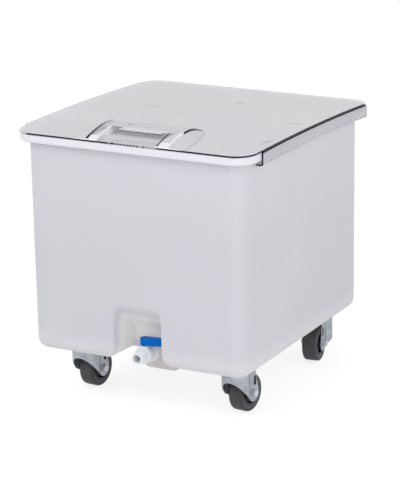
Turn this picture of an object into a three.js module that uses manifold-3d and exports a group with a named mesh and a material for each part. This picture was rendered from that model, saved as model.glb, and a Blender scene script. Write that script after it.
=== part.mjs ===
// Ingredient cart: a moulded tank on four swivel casters, with a clear lid that slides back along
// the curved rim and a small ball valve that drains the sump. Millimetres, +Z up, origin on the
// floor under the middle of the tank. The front, with the valve and the lid's handle, faces -Y.
import * as THREE from "three";
import { mergeVertices } from "three/addons/utils/BufferGeometryUtils.js";
import Module from "manifold-3d";

const wasm = await Module();
wasm.setup();

// Shared values
const seat_gap = 0.3; // between pieces that rest on each other
const overrun = 5; // how far a cutting shape passes the face it cuts
const corner_steps = 5;

// Tank
const tank_top_width = 474;
const tank_bottom_width = 472;
const tank_top_depth = 531;
const tank_bottom_depth = 529;
const caster_height = 108; // underside of the tank above the floor
const tank_wall = 4.5;
const tank_floor = 6;
const tank_corner_radius = 32;
const tank_bottom_fillet = 20;
const fillet_steps = 4;
const pad_width = 96; // thick pad in the tank floor over each caster, which takes its bolts
const pad_depth = 70;
const pad_rise = 14;

// Curved track that the lid slides on, and the rolled rim under it
const overall_height = 554;
const track_radius = 6600;
const track_apex = 130; // how far ahead of the middle the track is highest
const track_steps = 8;
const rim_side_overhang = 18;
const rim_end_overhang = 14.5;
const rim_band = 16;
const rim_wall = 4.5;
const rim_corner_radius = 42;
const rim_edge_radius = 3.5;

// Lid
const lid_sheet = 3.2;
const lid_side_clearance = 1;
const lid_end_overhang = 0.5;
const skirt_wall = 3;
const skirt_depth = 30;
const skirt_front_setback = 58;
const skirt_rear_setback = 30;
const hook_width = 16.5;

// Pull handle moulded in the lid
const hood_front_width = 244;
const hood_rear_width = 200;
const hood_ridge_width = 176;
const hood_length = 150;
const hood_height = 17.5;
const hood_shell = 3;
const hood_arch_shares = [[0, 0.14], [0.11, 0.44], [0.29, 0.78], [0.5, 1], [0.7, 0.84], [0.86, 0.42], [1, 0]];
const grip_width = 128;
const grip_depth = 53; // from the lid's front edge to the pull bar
const grip_back_depth = 76;
const grip_back_slope = 12;
const grip_lip_width = 96;
const grip_lip_gap = 8.5; // finger gap under the bar's turned down lip

// Alcove in the front wall, and the sump behind it
const alcove_offset = 4; // to the right of the middle
const alcove_width = 108;
const alcove_back_width = 84;
const alcove_recess = 70;
const alcove_height = 120; // above the tank's underside
const alcove_roof = 75; // height over which the recess fades out
const alcove_edge_radius = 30;
const alcove_steps = 5;
const sump_offset = 14;
const sump_width = 72;
const sump_length = 80;
const sump_drop = 31;
const sump_corner_radius = 9;
const sump_fillet = 7;

// Drain valve
const valve_offset = 4;
const valve_rise = 13; // axis above the tank's underside
const drain_bore_radius = 8;
const drain_tube_wall = 2.4;
const drain_tube_inside = 12; // length inside the tank wall
const gasket_radius = 15;
const gasket_thickness = 2;
const drain_flange_radius = 15.5;
const drain_flange_thickness = 4;
const drain_nut_radius = 15.8;
const drain_nut_thickness = 6;
const drain_socket = 20.5; // how far the tube enters the valve
const body_radius = 17.5;
const body_collar_radius = 20.5;
const body_collar_length = 20;
const body_bore_radius = 13.4;
const body_chamfer = 2.5;
const ball_radius = 11.5;
const ball_bore_radius = 7;
const ball_slot_depth = 3.5;
const ball_slot_width = 4;
const seat_ring_depth = 4;
const seat_ring_chamfer = 1.3;
const nozzle_length = 23;
const nozzle_wall = 3.8;
const nozzle_collar_radius = 15;
const nozzle_collar_length = 9;
const nozzle_chamfer = 1;
const bonnet_radius = 9.5;
const bonnet_rise = 18.2; // top of the bonnet above the valve's axis
const stem_radius = 4;
const stem_seal_width = 2.4;
const stem_seal_height = 3;
const lever_rise = 0.8; // gap between bonnet and lever
const lever_height = 15;
const lever_length = 44;
const lever_boss_radius = 9.5;
const lever_tip_radius = 6.5;
const lever_shell = 2.5;
const lever_recess_radius = 5.2;
const lever_recess_depth = 3.4;
const lever_screw_radius = 4.4;
const lever_screw_head = 2.6;
const lever_screw_length = 6;
const lever_screw_shank_radius = 1.6;
const lever_rest_turn = 12; // degrees past square to the nozzle

// Drain shelf
const shelf_thickness = 4;
const shelf_clearance = 4;
const shelf_slot_edge = 10; // least solid between a slot and the alcove's notch
const shelf_slot_columns = 4;
const shelf_slot_rows = 8;
const shelf_slot_length = 74;
const shelf_slot_width = 12;
const shelf_slot_margin = 44;

// Casters
const wheel_radius = 38;
const wheel_width = 31;
const caster_trail = 30;
const front_caster_spread = 339;
const rear_caster_spread = 332;
const front_caster_setback = 167.6; // swivel axis ahead of the tank's middle
const rear_caster_setback = 215.5;
const plate_width = 84;
const plate_depth = 60;
const plate_thickness = 2.5;
const plate_corner_radius = 5;
const bolt_spacing_x = 64;
const bolt_spacing_y = 42;
const bolt_radius = 3;
const bolt_head_radius = 6.2;
const bolt_head_height = 4;
const bolt_clearance = 0.4;
const race_cup_radius = 22;
const race_cup_depth = 3.6;
const race_inner_radius = 11;
const race_outer_radius = 20;
const king_pin_radius = 5;
const king_pin_head_radius = 8;
const king_pin_head_height = 3;
const fork_plate = 2.5;
const fork_crown_level = 96; // top of the fork above the floor
const fork_crown_radius = 29.5;
const fork_leg_span = 42; // over the outsides of the two legs
const fork_bend = 16; // bend line ahead of the axle
const fork_end_radius = 16.5;
const fork_front_rise = 37; // lower edge of the hood above the axle
const fork_rear_top = 7.4; // rear edge behind the axle, near the crown
const fork_slot_width = 9.5;
const fork_slot_length = 20;
const fork_slot_rise = 26;
const fork_slot_setback = 4;
const axle_radius = 4;
const axle_head_radius = 7.2;
const axle_head_height = 5;
const axle_nut_height = 6;
const axle_end = 2;
const bushing_wall = 1.9;
const hub_radius = 25;
const hub_boss_radius = 10.5;
const hub_web = 9;
const hub_rim = 3;
const hub_side_recess = 1;
const tyre_side_step = 3;
const tyre_shoulder = 2.2;

// Materials
const finishes = {
  tank: { color: 0xf0f0f2, roughness: 0.45, metalness: 0 },
  lid: { color: 0xd4d3d8, roughness: 0.08, metalness: 0, transparent: true, opacity: 0.4 },
  shelf: { color: 0xe6e6ea, roughness: 0.5, metalness: 0 },
  valve: { color: 0xeef0f2, roughness: 0.35, metalness: 0 },
  lever: { color: 0x0066c8, roughness: 0.35, metalness: 0 },
  seal: { color: 0x2b2b2d, roughness: 0.7, metalness: 0 },
  ball: { color: 0xd0d2d4, roughness: 0.2, metalness: 1 },
  zinc: { color: 0xa5aab2, roughness: 0.35, metalness: 1 },
  tyre: { color: 0x4b464b, roughness: 0.65, metalness: 0 },
  hub: { color: 0x2d2a3c, roughness: 0.5, metalness: 0 },
};

// Places worked out from the sizes
const tank_depth_at = (level) => {
  const share = (level - caster_height) / (overall_height - caster_height);
  return tank_bottom_depth + (tank_top_depth - tank_bottom_depth) * share;
};
const floor_level = caster_height + tank_floor;
const rim_half_width = tank_top_width / 2 + rim_side_overhang;
const rim_half_depth = tank_top_depth / 2 + rim_end_overhang;
const lid_half_width = rim_half_width + lid_side_clearance;
const lid_half_depth = rim_half_depth + lid_end_overhang;
const rim_drop = lid_sheet + seat_gap;
const pad_level = floor_level + pad_rise;
const valve_level = caster_height + valve_rise;
const alcove_back = -tank_depth_at(valve_level) / 2 + alcove_recess;

// A point of the curved track: y along the cart, rise above the lid's upper face
function on_track(y, rise) {
  const turn = (y + track_apex) / track_radius;
  const radius = track_radius + rise;
  return [radius * Math.sin(turn) - track_apex, overall_height - track_radius + radius * Math.cos(turn)];
}

// Solids
function signed_volume(positions, index) {
  const at = (i) => new THREE.Vector3().fromBufferAttribute(positions, index.getX(i));
  let volume = 0;
  for (let i = 0; i < index.count; i += 3) volume += at(i).dot(at(i + 1).cross(at(i + 2)));
  return volume;
}

function solid(geometry, matrix) {
  const bare = geometry.clone();
  bare.deleteAttribute("normal");
  bare.deleteAttribute("uv");
  if (matrix) bare.applyMatrix4(matrix);
  const merged = mergeVertices(bare, 1e-3);
  const triangles = new Uint32Array(merged.index.array);
  if (signed_volume(merged.attributes.position, merged.index) < 0) triangles.reverse();
  const mesh = new wasm.Mesh({
    numProp: 3,
    vertProperties: new Float32Array(merged.attributes.position.array),
    triVerts: triangles,
  });
  return new wasm.Manifold(mesh);
}

function geometry_of(body) {
  const mesh = body.getMesh();
  const geometry = new THREE.BufferGeometry();
  geometry.setAttribute("position", new THREE.BufferAttribute(mesh.vertProperties, 3));
  geometry.setIndex(new THREE.BufferAttribute(mesh.triVerts, 1));
  geometry.computeVertexNormals();
  return geometry;
}

function mesh_of(name, body, finish) {
  const mesh = new THREE.Mesh(geometry_of(body), new THREE.MeshStandardMaterial(finishes[finish]));
  mesh.name = name;
  return mesh;
}

// Rings of points, joined and capped
function loft(rings, flat = (p) => new THREE.Vector2(p.x, p.y)) {
  const count = rings[0].length;
  const positions = rings.flat().flatMap((p) => [p.x, p.y, p.z]);
  const index = [];
  for (let level = 1; level < rings.length; level++)
    for (let i = 0; i < count; i++) {
      const next = (i + 1) % count;
      const low = (level - 1) * count;
      const high = level * count;
      index.push(low + i, low + next, high + next, low + i, high + next, high + i);
    }
  const last = (rings.length - 1) * count;
  for (const [a, b, c] of THREE.ShapeUtils.triangulateShape(rings[0].map(flat), []))
    index.push(c, b, a);
  for (const [a, b, c] of THREE.ShapeUtils.triangulateShape(rings.at(-1).map(flat), []))
    index.push(last + a, last + b, last + c);
  const geometry = new THREE.BufferGeometry();
  geometry.setAttribute("position", new THREE.Float32BufferAttribute(positions, 3));
  geometry.setIndex(index);
  return solid(geometry);
}

// Outline of a rounded rectangle, anticlockwise, with its long sides cut in steps
function rounded_outline(half_width, half_depth, radius, side_steps = 1, steps = corner_steps) {
  const points = [];
  const corners = [[1, 1], [-1, 1], [-1, -1], [1, -1]];
  corners.forEach(([sx, sy], corner) => {
    for (let i = 0; i <= steps; i++) {
      const turn = ((corner + i / steps) * Math.PI) / 2;
      const x = sx * (half_width - radius) + radius * Math.cos(turn);
      const y = sy * (half_depth - radius) + radius * Math.sin(turn);
      points.push(new THREE.Vector2(x, y));
    }
    if (corner % 2 === 0) return;
    const reach = half_depth - radius;
    for (let i = 1; i < side_steps; i++) {
      const y = sy * reach * (1 - (2 * i) / side_steps);
      points.push(new THREE.Vector2(sx * half_width, y));
    }
  });
  return points;
}

const at_level = (outline, z) => outline.map((p) => new THREE.Vector3(p.x, p.y, z));

function upright_prism(outline, low, high) {
  const shape = new THREE.Shape(outline);
  const geometry = new THREE.ExtrudeGeometry(shape, { depth: high - low, bevelEnabled: false });
  return solid(geometry, new THREE.Matrix4().makeTranslation(0, 0, low));
}

// A side view outline of y and z pairs, extruded across the cart
function side_prism(outline, left, right) {
  const shape = new THREE.Shape(outline.map(([y, z]) => new THREE.Vector2(y, z)));
  const geometry = new THREE.ExtrudeGeometry(shape, { depth: right - left, bevelEnabled: false });
  const across = new THREE.Vector3(1, 0, 0);
  const along = new THREE.Vector3(0, 1, 0);
  const up = new THREE.Vector3(0, 0, 1);
  const turn = new THREE.Matrix4().makeBasis(along, up, across);
  return solid(geometry, turn.setPosition(left, 0, 0));
}

function track_line(front, rear, rise) {
  const line = [];
  for (let i = 0; i <= track_steps; i++) line.push(on_track(front + ((rear - front) * i) / track_steps, rise));
  return line;
}

function track_strip(front, rear, top, bottom, left, right) {
  const lower = track_line(front, rear, bottom).reverse();
  return side_prism([...track_line(front, rear, top), ...lower], left, right);
}

function block(width, depth, height, x, y, z) {
  const geometry = new THREE.BoxGeometry(width, depth, height);
  return solid(geometry, new THREE.Matrix4().makeTranslation(x, y, z));
}

// A revolved body on the y axis, from pairs of radius and place, or on z
function turned(profile, sides, upright = false) {
  const closed = [...profile, profile[0]].map(([r, y]) => new THREE.Vector2(r, y));
  const geometry = new THREE.LatheGeometry(closed, sides);
  return solid(geometry, upright ? new THREE.Matrix4().makeRotationX(Math.PI / 2) : undefined);
}

const ring_profile = (inner, outer, low, high) => [[inner, low], [outer, low], [outer, high], [inner, high]];
const rod_profile = (radius, low, high) => ring_profile(0, radius, low, high);

const smooth = (share) => {
  const t = THREE.MathUtils.clamp(share, 0, 1);
  return t * t * (3 - 2 * t);
};

// Tank
function tank_shell(inset, low, high) {
  const rings = [];
  const fillet = tank_bottom_fillet - inset;
  const ring = (level, pull) => {
    const share = (level - caster_height) / (overall_height - caster_height);
    const width = tank_bottom_width + (tank_top_width - tank_bottom_width) * share;
    const outline = rounded_outline(
      width / 2 - inset - pull,
      tank_depth_at(level) / 2 - inset - pull,
      tank_corner_radius - inset - pull,
    );
    rings.push(at_level(outline, level));
  };
  for (let i = 0; i <= fillet_steps; i++) {
    const turn = ((i / fillet_steps) * Math.PI) / 2;
    ring(low + fillet * (1 - Math.cos(turn)), fillet * (1 - Math.sin(turn)));
  }
  ring(high, 0);
  return loft(rings);
}

// The recess in the front wall, grown by a wall for the inside of the tank
function alcove(grow) {
  const top = caster_height + alcove_height + grow;
  const full = top - alcove_roof;
  const half_front = alcove_width / 2 + grow;
  const half_back = alcove_back_width / 2 + grow;
  const foot = grow > 0 ? floor_level : caster_height;
  const edge_rise = caster_height + alcove_edge_radius - foot;
  const edge = (level) => {
    const up = THREE.MathUtils.clamp((level - foot) / edge_rise, 0, 1);
    return (alcove_edge_radius - grow) * (1 - Math.sqrt(1 - (1 - up) * (1 - up)));
  };
  const levels = [caster_height - sump_drop - overrun];
  for (let i = 0; i <= alcove_steps; i++) {
    const turn = ((i / alcove_steps) * Math.PI) / 2;
    levels.push(foot + edge_rise * (1 - Math.cos(turn)));
  }
  for (let i = 0; i <= alcove_steps; i++) levels.push(full + (alcove_roof * i) / alcove_steps);
  const columns = [];
  for (let i = 0; i <= alcove_steps; i++) columns.push(-1 + i / alcove_steps);
  for (let i = 0; i <= alcove_steps; i++) columns.push(i / alcove_steps);
  const rings = levels.map((level) => {
    const front = -tank_depth_at(level) / 2;
    const flare = edge(level);
    const fade = 1 - smooth((level - full) / alcove_roof);
    const ring = [];
    const outer = half_front + flare;
    ring.push(new THREE.Vector3(alcove_offset - outer, front - overrun, level));
    ring.push(new THREE.Vector3(alcove_offset + outer, front - overrun, level));
    for (let i = columns.length - 1; i >= 0; i--) {
      const share = columns[i];
      const side = i > alcove_steps ? 1 : -1;
      const inward = side > 0 ? share : -share;
      const x = side * (half_back + flare + (half_front - half_back) * inward);
      const deep = (alcove_back - front + grow + flare + seat_gap) * smooth(1 - inward) * fade;
      ring.push(new THREE.Vector3(alcove_offset + x, front - seat_gap + deep, level));
    }
    return ring;
  });
  return loft(rings);
}

function sump(inset) {
  const bottom = caster_height - sump_drop + inset;
  const fillet = sump_fillet - inset / 2;
  const front = alcove_back + inset;
  const rear = alcove_back + sump_length - inset;
  const top = caster_height + alcove_edge_radius + (inset > 0 ? overrun : 0);
  const rings = [];
  for (let i = 0; i <= fillet_steps; i++) {
    const turn = ((i / fillet_steps) * Math.PI) / 2;
    const pull = fillet * (1 - Math.sin(turn));
    const outline = rounded_outline(
      sump_width / 2 - inset - pull,
      (rear - front) / 2 - pull,
      sump_corner_radius - inset / 2 - pull / 2,
    );
    const level = i < fillet_steps ? bottom + fillet * (1 - Math.cos(turn)) : top;
    const moved = outline.map((p) => p.clone().add(new THREE.Vector2(sump_offset, (front + rear) / 2)));
    rings.push(at_level(moved, level));
  }
  return loft(rings);
}

// A slab that follows the track, from pairs of inset and rise
function rim_slab(steps) {
  const rings = steps.map(([inset, rise]) => {
    const outline = rounded_outline(
      rim_half_width - inset,
      rim_half_depth - inset,
      rim_corner_radius - inset,
      track_steps,
    );
    return outline.map((p) => new THREE.Vector3(p.x, p.y, on_track(p.y, rise)[1]));
  });
  return loft(rings);
}

function rim() {
  const top = -rim_drop;
  const bottom = top - rim_band;
  const inner = rim_end_overhang + rim_side_overhang;
  const round_share = 0.3;
  const slab = rim_slab([
    [inner, bottom],
    [rim_edge_radius, bottom],
    [rim_edge_radius * round_share, bottom + rim_edge_radius * round_share],
    [0, bottom + rim_edge_radius],
    [0, top - rim_edge_radius],
    [rim_edge_radius * round_share, top - rim_edge_radius * round_share],
    [rim_edge_radius, top],
    [inner, top],
  ]);
  const gutter = rim_slab([[rim_wall, bottom - overrun], [rim_wall, top - rim_wall]]);
  return { slab, gutter };
}

const caster_spots = [
  { name: "front_left", x: -front_caster_spread / 2, y: -front_caster_setback, turn: -4 },
  { name: "front_right", x: front_caster_spread / 2, y: -front_caster_setback, turn: -5.7 },
  { name: "rear_left", x: -rear_caster_spread / 2, y: rear_caster_setback, turn: 172 },
  { name: "rear_right", x: rear_caster_spread / 2, y: rear_caster_setback, turn: 187.7 },
];

function bolt_places() {
  const places = [];
  for (const sx of [-1, 1])
    for (const sy of [-1, 1]) places.push([(sx * bolt_spacing_x) / 2, (sy * bolt_spacing_y) / 2]);
  return places;
}

function tank() {
  const outer = tank_shell(0, caster_height, overall_height);
  const cavity = tank_shell(tank_wall, floor_level, overall_height + overrun);
  const below = track_line(-rim_half_depth, rim_half_depth, -rim_drop);
  below.push([rim_half_depth, 0], [-rim_half_depth, 0]);
  const under_track = side_prism(below, -rim_half_width, rim_half_width);
  const { slab, gutter } = rim();
  let body = outer.intersect(under_track).subtract(alcove(0)).add(sump(0));
  body = body.add(slab.subtract(gutter.subtract(outer)));
  body = body.subtract(cavity.subtract(alcove(tank_wall))).subtract(sump(tank_wall));
  const bolt_bore = bolt_radius + bolt_clearance;
  const bore_top = pad_level - tank_floor / 2;
  for (const spot of caster_spots) {
    const inset = tank_corner_radius - tank_wall;
    const middle = (caster_height + tank_floor / 2 + pad_level) / 2;
    const pad = block(pad_width, pad_depth, pad_level - caster_height - tank_floor / 2, spot.x, spot.y, middle);
    const inside = upright_prism(
      rounded_outline(tank_bottom_width / 2 - tank_wall / 2, tank_bottom_depth / 2 - tank_wall / 2, inset),
      caster_height,
      pad_level + overrun,
    );
    body = body.add(pad.intersect(inside));
    for (const [x, y] of bolt_places()) {
      const bore = turned(rod_profile(bolt_bore, caster_height - overrun, bore_top), 6, true);
      body = body.subtract(bore.translate([spot.x + x, spot.y + y, 0]));
    }
  }
  const hole = turned(
    rod_profile(drain_bore_radius + drain_tube_wall + seat_gap, -tank_wall - overrun, overrun),
    24,
  );
  const drain = hole.translate([valve_offset, alcove_back, valve_level]);
  return body.subtract(drain);
}

// Lid with its side skirts, the hooks under the rim and the pull handle
function hood(inset, start, finish, bottom) {
  const rings = hood_arch_shares
    .filter(([share]) => share >= start && share <= finish)
    .map(([share, rise_share]) => {
      const y = -lid_half_depth + hood_length * share;
      const foot = (hood_front_width + (hood_rear_width - hood_front_width) * share) / 2 - inset;
      const ridge = hood_ridge_width / 2 - inset / 2;
      const rise = hood_height * rise_share - inset;
      const right = [[foot, bottom], [foot, -inset], [ridge, rise]];
      const section = [[-foot, bottom], ...right, [-ridge, rise], [-foot, -inset]];
      return section.map(([x, h]) => {
        const [along, up] = on_track(y, h);
        return new THREE.Vector3(x, along, up);
      });
    });
  return loft(rings, (p) => new THREE.Vector2(p.x, p.z));
}

// The finger pocket in front of the pull bar and under it, grown by a wall for the solid round it
function grip(grow) {
  const front = -lid_half_depth;
  const floor = grow > 0 ? -grow - lid_sheet : 0;
  const bar = front + grip_depth;
  const back = front + grip_back_depth + grow;
  const under = grow > 0 ? hood_height : hood_height - hood_shell;
  const top = hood_height + overrun;
  const outline = [
    [front - overrun, floor],
    [back, floor],
    [back + grip_back_slope, under],
    [bar, under],
    [bar, top],
    [front - overrun, top],
  ];
  const half = grip_width / 2 + grow;
  return side_prism(outline.map(([y, h]) => on_track(y, h)), -half, half);
}

// The pocket, less the lip that turns down from the bar's front edge
function grip_pocket() {
  const whole = grip(0);
  const lip = block(grip_lip_width, hood_shell, hood_height, 0, 0, 0);
  const [y, z] = on_track(-lid_half_depth + grip_depth + hood_shell / 2, grip_lip_gap + hood_height / 2);
  return whole.subtract(lip.translate([0, y, z]));
}

function lid() {
  const front = -lid_half_depth - overrun;
  const rear = lid_half_depth + overrun;
  const sheet = track_strip(front, rear, 0, -lid_sheet, -lid_half_width, lid_half_width);
  const outline = rounded_outline(lid_half_width, lid_half_depth, rim_corner_radius);
  const plan = upright_prism(outline, 0, overall_height + hood_height + overrun);
  let body = sheet.add(hood(0, 0, 1, -lid_sheet / 2)).intersect(plan);
  const hollow = hood(hood_shell, hood_arch_shares[1][0], hood_arch_shares[5][0], -lid_sheet - overrun);
  body = body.subtract(hollow.subtract(grip(hood_shell))).subtract(grip_pocket());
  const outside = lid_half_width + skirt_wall;
  const skirt_length = 2 * lid_half_depth - skirt_front_setback - skirt_rear_setback;
  const skirt_middle = (skirt_front_setback - skirt_rear_setback) / 2;
  const span = block(2 * outside, skirt_length, 2 * overall_height, 0, skirt_middle, overall_height);
  for (const side of [-1, 1]) {
    const faces = (inner, outer) => [inner * side, outer * side].sort((a, b) => a - b);
    const wall = track_strip(front, rear, 0, -skirt_depth, ...faces(lid_half_width, outside));
    const hook_faces = faces(outside - hook_width, outside);
    const hook = track_strip(front, rear, -skirt_depth + skirt_wall, -skirt_depth, ...hook_faces);
    body = body.add(wall.add(hook).intersect(span));
  }
  return body;
}

// Perforated shelf that stands on the pads and keeps food out of the drain
function drain_shelf() {
  const low = pad_level + seat_gap;
  const wide = tank_bottom_width / 2 - tank_wall - shelf_clearance;
  const deep = tank_bottom_depth / 2 - tank_wall - shelf_clearance;
  const radius = tank_corner_radius - tank_wall - shelf_clearance;
  const outline = rounded_outline(wide, deep, radius);
  let body = upright_prism(outline, low, low + shelf_thickness);
  const notch_depth = tank_wall + drain_tube_inside + shelf_clearance;
  const notch_width = 2 * (drain_nut_radius + shelf_clearance);
  const notch_middle = alcove_back + notch_depth / 2;
  const notch = block(notch_width, notch_depth, shelf_thickness + 2 * overrun, valve_offset, notch_middle, low);
  body = body.subtract(alcove(tank_wall + shelf_clearance)).subtract(notch);
  const step_x = (2 * (wide - shelf_slot_margin)) / (shelf_slot_columns - 1);
  const step_y = (2 * (deep - shelf_slot_margin)) / (shelf_slot_rows - 1);
  for (let i = 0; i < shelf_slot_columns; i++)
    for (let j = 0; j < shelf_slot_rows; j++) {
      const x = shelf_slot_margin - wide + step_x * i;
      const y = shelf_slot_margin - deep + step_y * j;
      const aside = (alcove_width + shelf_slot_length) / 2 + shelf_slot_edge;
      const behind = alcove_back + tank_wall + shelf_clearance + shelf_slot_edge;
      if (Math.abs(x - alcove_offset) < aside && y < behind) continue;
      const height = shelf_thickness + 2 * overrun;
      body = body.subtract(block(shelf_slot_length, shelf_slot_width, height, x, y, low + shelf_thickness / 2));
    }
  return body;
}

// Drain valve, with y as the distance ahead of the alcove's back wall
function hexagon(radius, low, high) {
  return turned(rod_profile(radius, low, high), 6);
}

function valve() {
  const group = new THREE.Group();
  group.position.set(valve_offset, alcove_back, valve_level);
  group.rotation.z = Math.PI;
  const add = (name, body, finish) => group.add(mesh_of(name, body, finish));

  const tube_radius = drain_bore_radius + drain_tube_wall;
  const gasket_bore = tube_radius + seat_gap;
  const flange_back = seat_gap + gasket_thickness + seat_gap;
  const flange_front = flange_back + drain_flange_thickness;
  const body_back = flange_front + seat_gap;
  const tube_end = body_back + drain_socket;
  const tube_start = -tank_wall - drain_tube_inside;
  const inner_gasket_back = -tank_wall - seat_gap - gasket_thickness;
  const tube = [
    [drain_bore_radius, tube_start],
    [tube_radius, tube_start],
    [tube_radius, flange_back],
    [drain_flange_radius, flange_back],
    [drain_flange_radius, flange_front],
    [tube_radius, flange_front],
    [tube_radius, tube_end],
    [drain_bore_radius, tube_end],
  ];
  add("drain_tube", turned(tube, 16), "valve");
  const outer_gasket = ring_profile(gasket_bore, gasket_radius, seat_gap, seat_gap + gasket_thickness);
  add("outer_gasket", turned(outer_gasket, 16), "seal");
  const inner_gasket = ring_profile(gasket_bore, gasket_radius, inner_gasket_back, -tank_wall - seat_gap);
  add("inner_gasket", turned(inner_gasket, 16), "seal");
  const nut_front = inner_gasket_back - seat_gap;
  const nut = hexagon(drain_nut_radius, nut_front - drain_nut_thickness, nut_front).subtract(
    turned(rod_profile(gasket_bore, tube_start, 0), 16),
  );
  add("drain_nut", nut, "valve");

  const shoulder = tube_end + seat_gap;
  const ball_centre = shoulder + seat_gap + ball_radius;
  const rear_seat_back = shoulder + seat_gap;
  const nozzle_back = 2 * ball_centre - rear_seat_back + seat_gap;
  const body_front = nozzle_back - seat_gap;
  const collar_front = body_back + body_collar_length;
  const body_profile = [
    [gasket_bore, body_back],
    [body_collar_radius - body_chamfer, body_back],
    [body_collar_radius, body_back + body_chamfer],
    [body_collar_radius, collar_front - body_chamfer],
    [body_radius, collar_front],
    [body_radius, body_front - body_chamfer],
    [body_radius - body_chamfer, body_front],
    [body_bore_radius, body_front],
    [body_bore_radius, shoulder],
    [gasket_bore, shoulder],
  ];
  const stem_bore = stem_radius + seat_gap;
  const seal_radius = stem_bore + stem_seal_width;
  const seal_low = bonnet_rise - stem_seal_height;
  const upright = (profile, sides) => turned(profile, sides, true).translate([0, ball_centre, 0]);
  const body = turned(body_profile, 20)
    .add(upright(rod_profile(bonnet_radius, body_bore_radius, bonnet_rise), 16))
    .subtract(upright(rod_profile(stem_bore, 0, bonnet_rise + overrun), 12))
    .subtract(upright(rod_profile(seal_radius + seat_gap, seal_low - seat_gap, bonnet_rise + overrun), 12));
  add("valve_body", body, "valve");
  add("stem_seal", upright(ring_profile(stem_bore, seal_radius, seal_low, bonnet_rise), 12), "seal");

  const seat_radius = body_bore_radius - seat_gap;
  const seat = (back, face) => {
    const inner_edge = face - Math.sign(face - back) * seat_ring_chamfer;
    const profile = [
      [drain_bore_radius, back],
      [seat_radius, back],
      [seat_radius, face],
      [drain_bore_radius + seat_ring_chamfer, face],
      [drain_bore_radius, inner_edge],
    ];
    return turned(profile, 16);
  };
  const front_seat_back = body_front;
  add("rear_seat", seat(rear_seat_back, rear_seat_back + seat_ring_depth), "seal");
  add("front_seat", seat(front_seat_back, front_seat_back - seat_ring_depth), "seal");

  const nozzle_radius = drain_bore_radius + nozzle_wall;
  const nozzle_end = nozzle_back + nozzle_length;
  const nozzle = [
    [drain_bore_radius, nozzle_back],
    [nozzle_collar_radius, nozzle_back],
    [nozzle_radius, nozzle_back + nozzle_collar_length],
    [nozzle_radius, nozzle_end - nozzle_chamfer],
    [nozzle_radius - nozzle_chamfer, nozzle_end],
    [drain_bore_radius, nozzle_end],
  ];
  add("valve_nozzle", turned(nozzle, 20), "valve");
  group.add(quarter_turn(ball_centre));
  return group;
}

// The ball, its stem and the lever turn together
function quarter_turn(ball_centre) {
  const group = new THREE.Group();
  group.position.y = ball_centre;
  group.rotation.z = THREE.MathUtils.degToRad(lever_rest_turn);
  const add = (name, body, finish) => group.add(mesh_of(name, body, finish));
  const sideways = new THREE.Matrix4().makeRotationZ(Math.PI / 2);
  const bore_shape = new THREE.CylinderGeometry(ball_bore_radius, ball_bore_radius, 4 * ball_radius, 12);
  const slot_low = ball_radius - ball_slot_depth;
  const slot = block(4 * ball_radius, ball_slot_width, 2 * ball_slot_depth, 0, 0, ball_radius);
  const ball = solid(new THREE.SphereGeometry(ball_radius, 12, 8)).subtract(solid(bore_shape, sideways));
  add("valve_ball", ball.subtract(slot), "ball");

  const lever_low = bonnet_rise + lever_rise;
  const lever_high = lever_low + lever_height;
  const recess_floor = lever_high - lever_recess_depth;
  const stem_top = recess_floor - lever_shell - seat_gap;
  const tang_low = slot_low + seat_gap;
  const tang = block(
    2 * stem_radius,
    ball_slot_width - 2 * seat_gap,
    ball_radius - tang_low + 2 * seat_gap,
    0,
    0,
    (tang_low + ball_radius + 2 * seat_gap) / 2,
  );
  const shank = turned(rod_profile(stem_radius, ball_radius + seat_gap, stem_top), 12, true);
  const screw_bore = lever_screw_shank_radius + seat_gap;
  const screw_low = recess_floor - lever_screw_length;
  const tapped = turned(rod_profile(screw_bore, screw_low - seat_gap, stem_top + overrun), 10, true);
  add("valve_stem", shank.add(tang).subtract(tapped), "ball");

  const bar = lever_outline(0);
  const hollow = lever_outline(lever_shell);
  const boss = turned(rod_profile(stem_radius + lever_shell, lever_low, lever_high), 12, true);
  const socket_radius = stem_radius + seat_gap;
  const socket = turned(rod_profile(socket_radius, lever_low - overrun, stem_top + seat_gap), 12, true);
  const lever = upright_prism(bar, lever_low, lever_high)
    .subtract(upright_prism(hollow, lever_low - overrun, lever_high - lever_shell))
    .add(boss)
    .subtract(socket)
    .subtract(turned(rod_profile(lever_recess_radius, recess_floor, lever_high + overrun), 12, true))
    .subtract(turned(rod_profile(screw_bore, lever_low, lever_high + overrun), 10, true));
  add("valve_lever", lever, "lever");

  const head_low = recess_floor + seat_gap;
  const head = turned(rod_profile(lever_screw_radius, head_low, head_low + lever_screw_head), 12, true);
  const screw = head.add(turned(rod_profile(lever_screw_shank_radius, screw_low, head_low), 8, true));
  add("lever_screw", screw, "zinc");
  return group;
}

// Outline of the lever: a round boss that narrows to a round tip on the -X side
function lever_outline(inset) {
  const boss = lever_boss_radius - inset;
  const tip = lever_tip_radius - inset;
  const reach = lever_length - lever_tip_radius;
  const lean = Math.asin((boss - tip) / reach);
  const points = [];
  const arc = (x, radius, from, to) => {
    for (let i = 0; i <= corner_steps; i++) {
      const turn = from + ((to - from) * i) / corner_steps;
      points.push(new THREE.Vector2(x + radius * Math.cos(turn), radius * Math.sin(turn)));
    }
  };
  arc(0, boss, -Math.PI / 2 - lean, Math.PI / 2 + lean);
  arc(-reach, tip, Math.PI / 2 + lean, (3 * Math.PI) / 2 - lean);
  return points;
}

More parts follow.
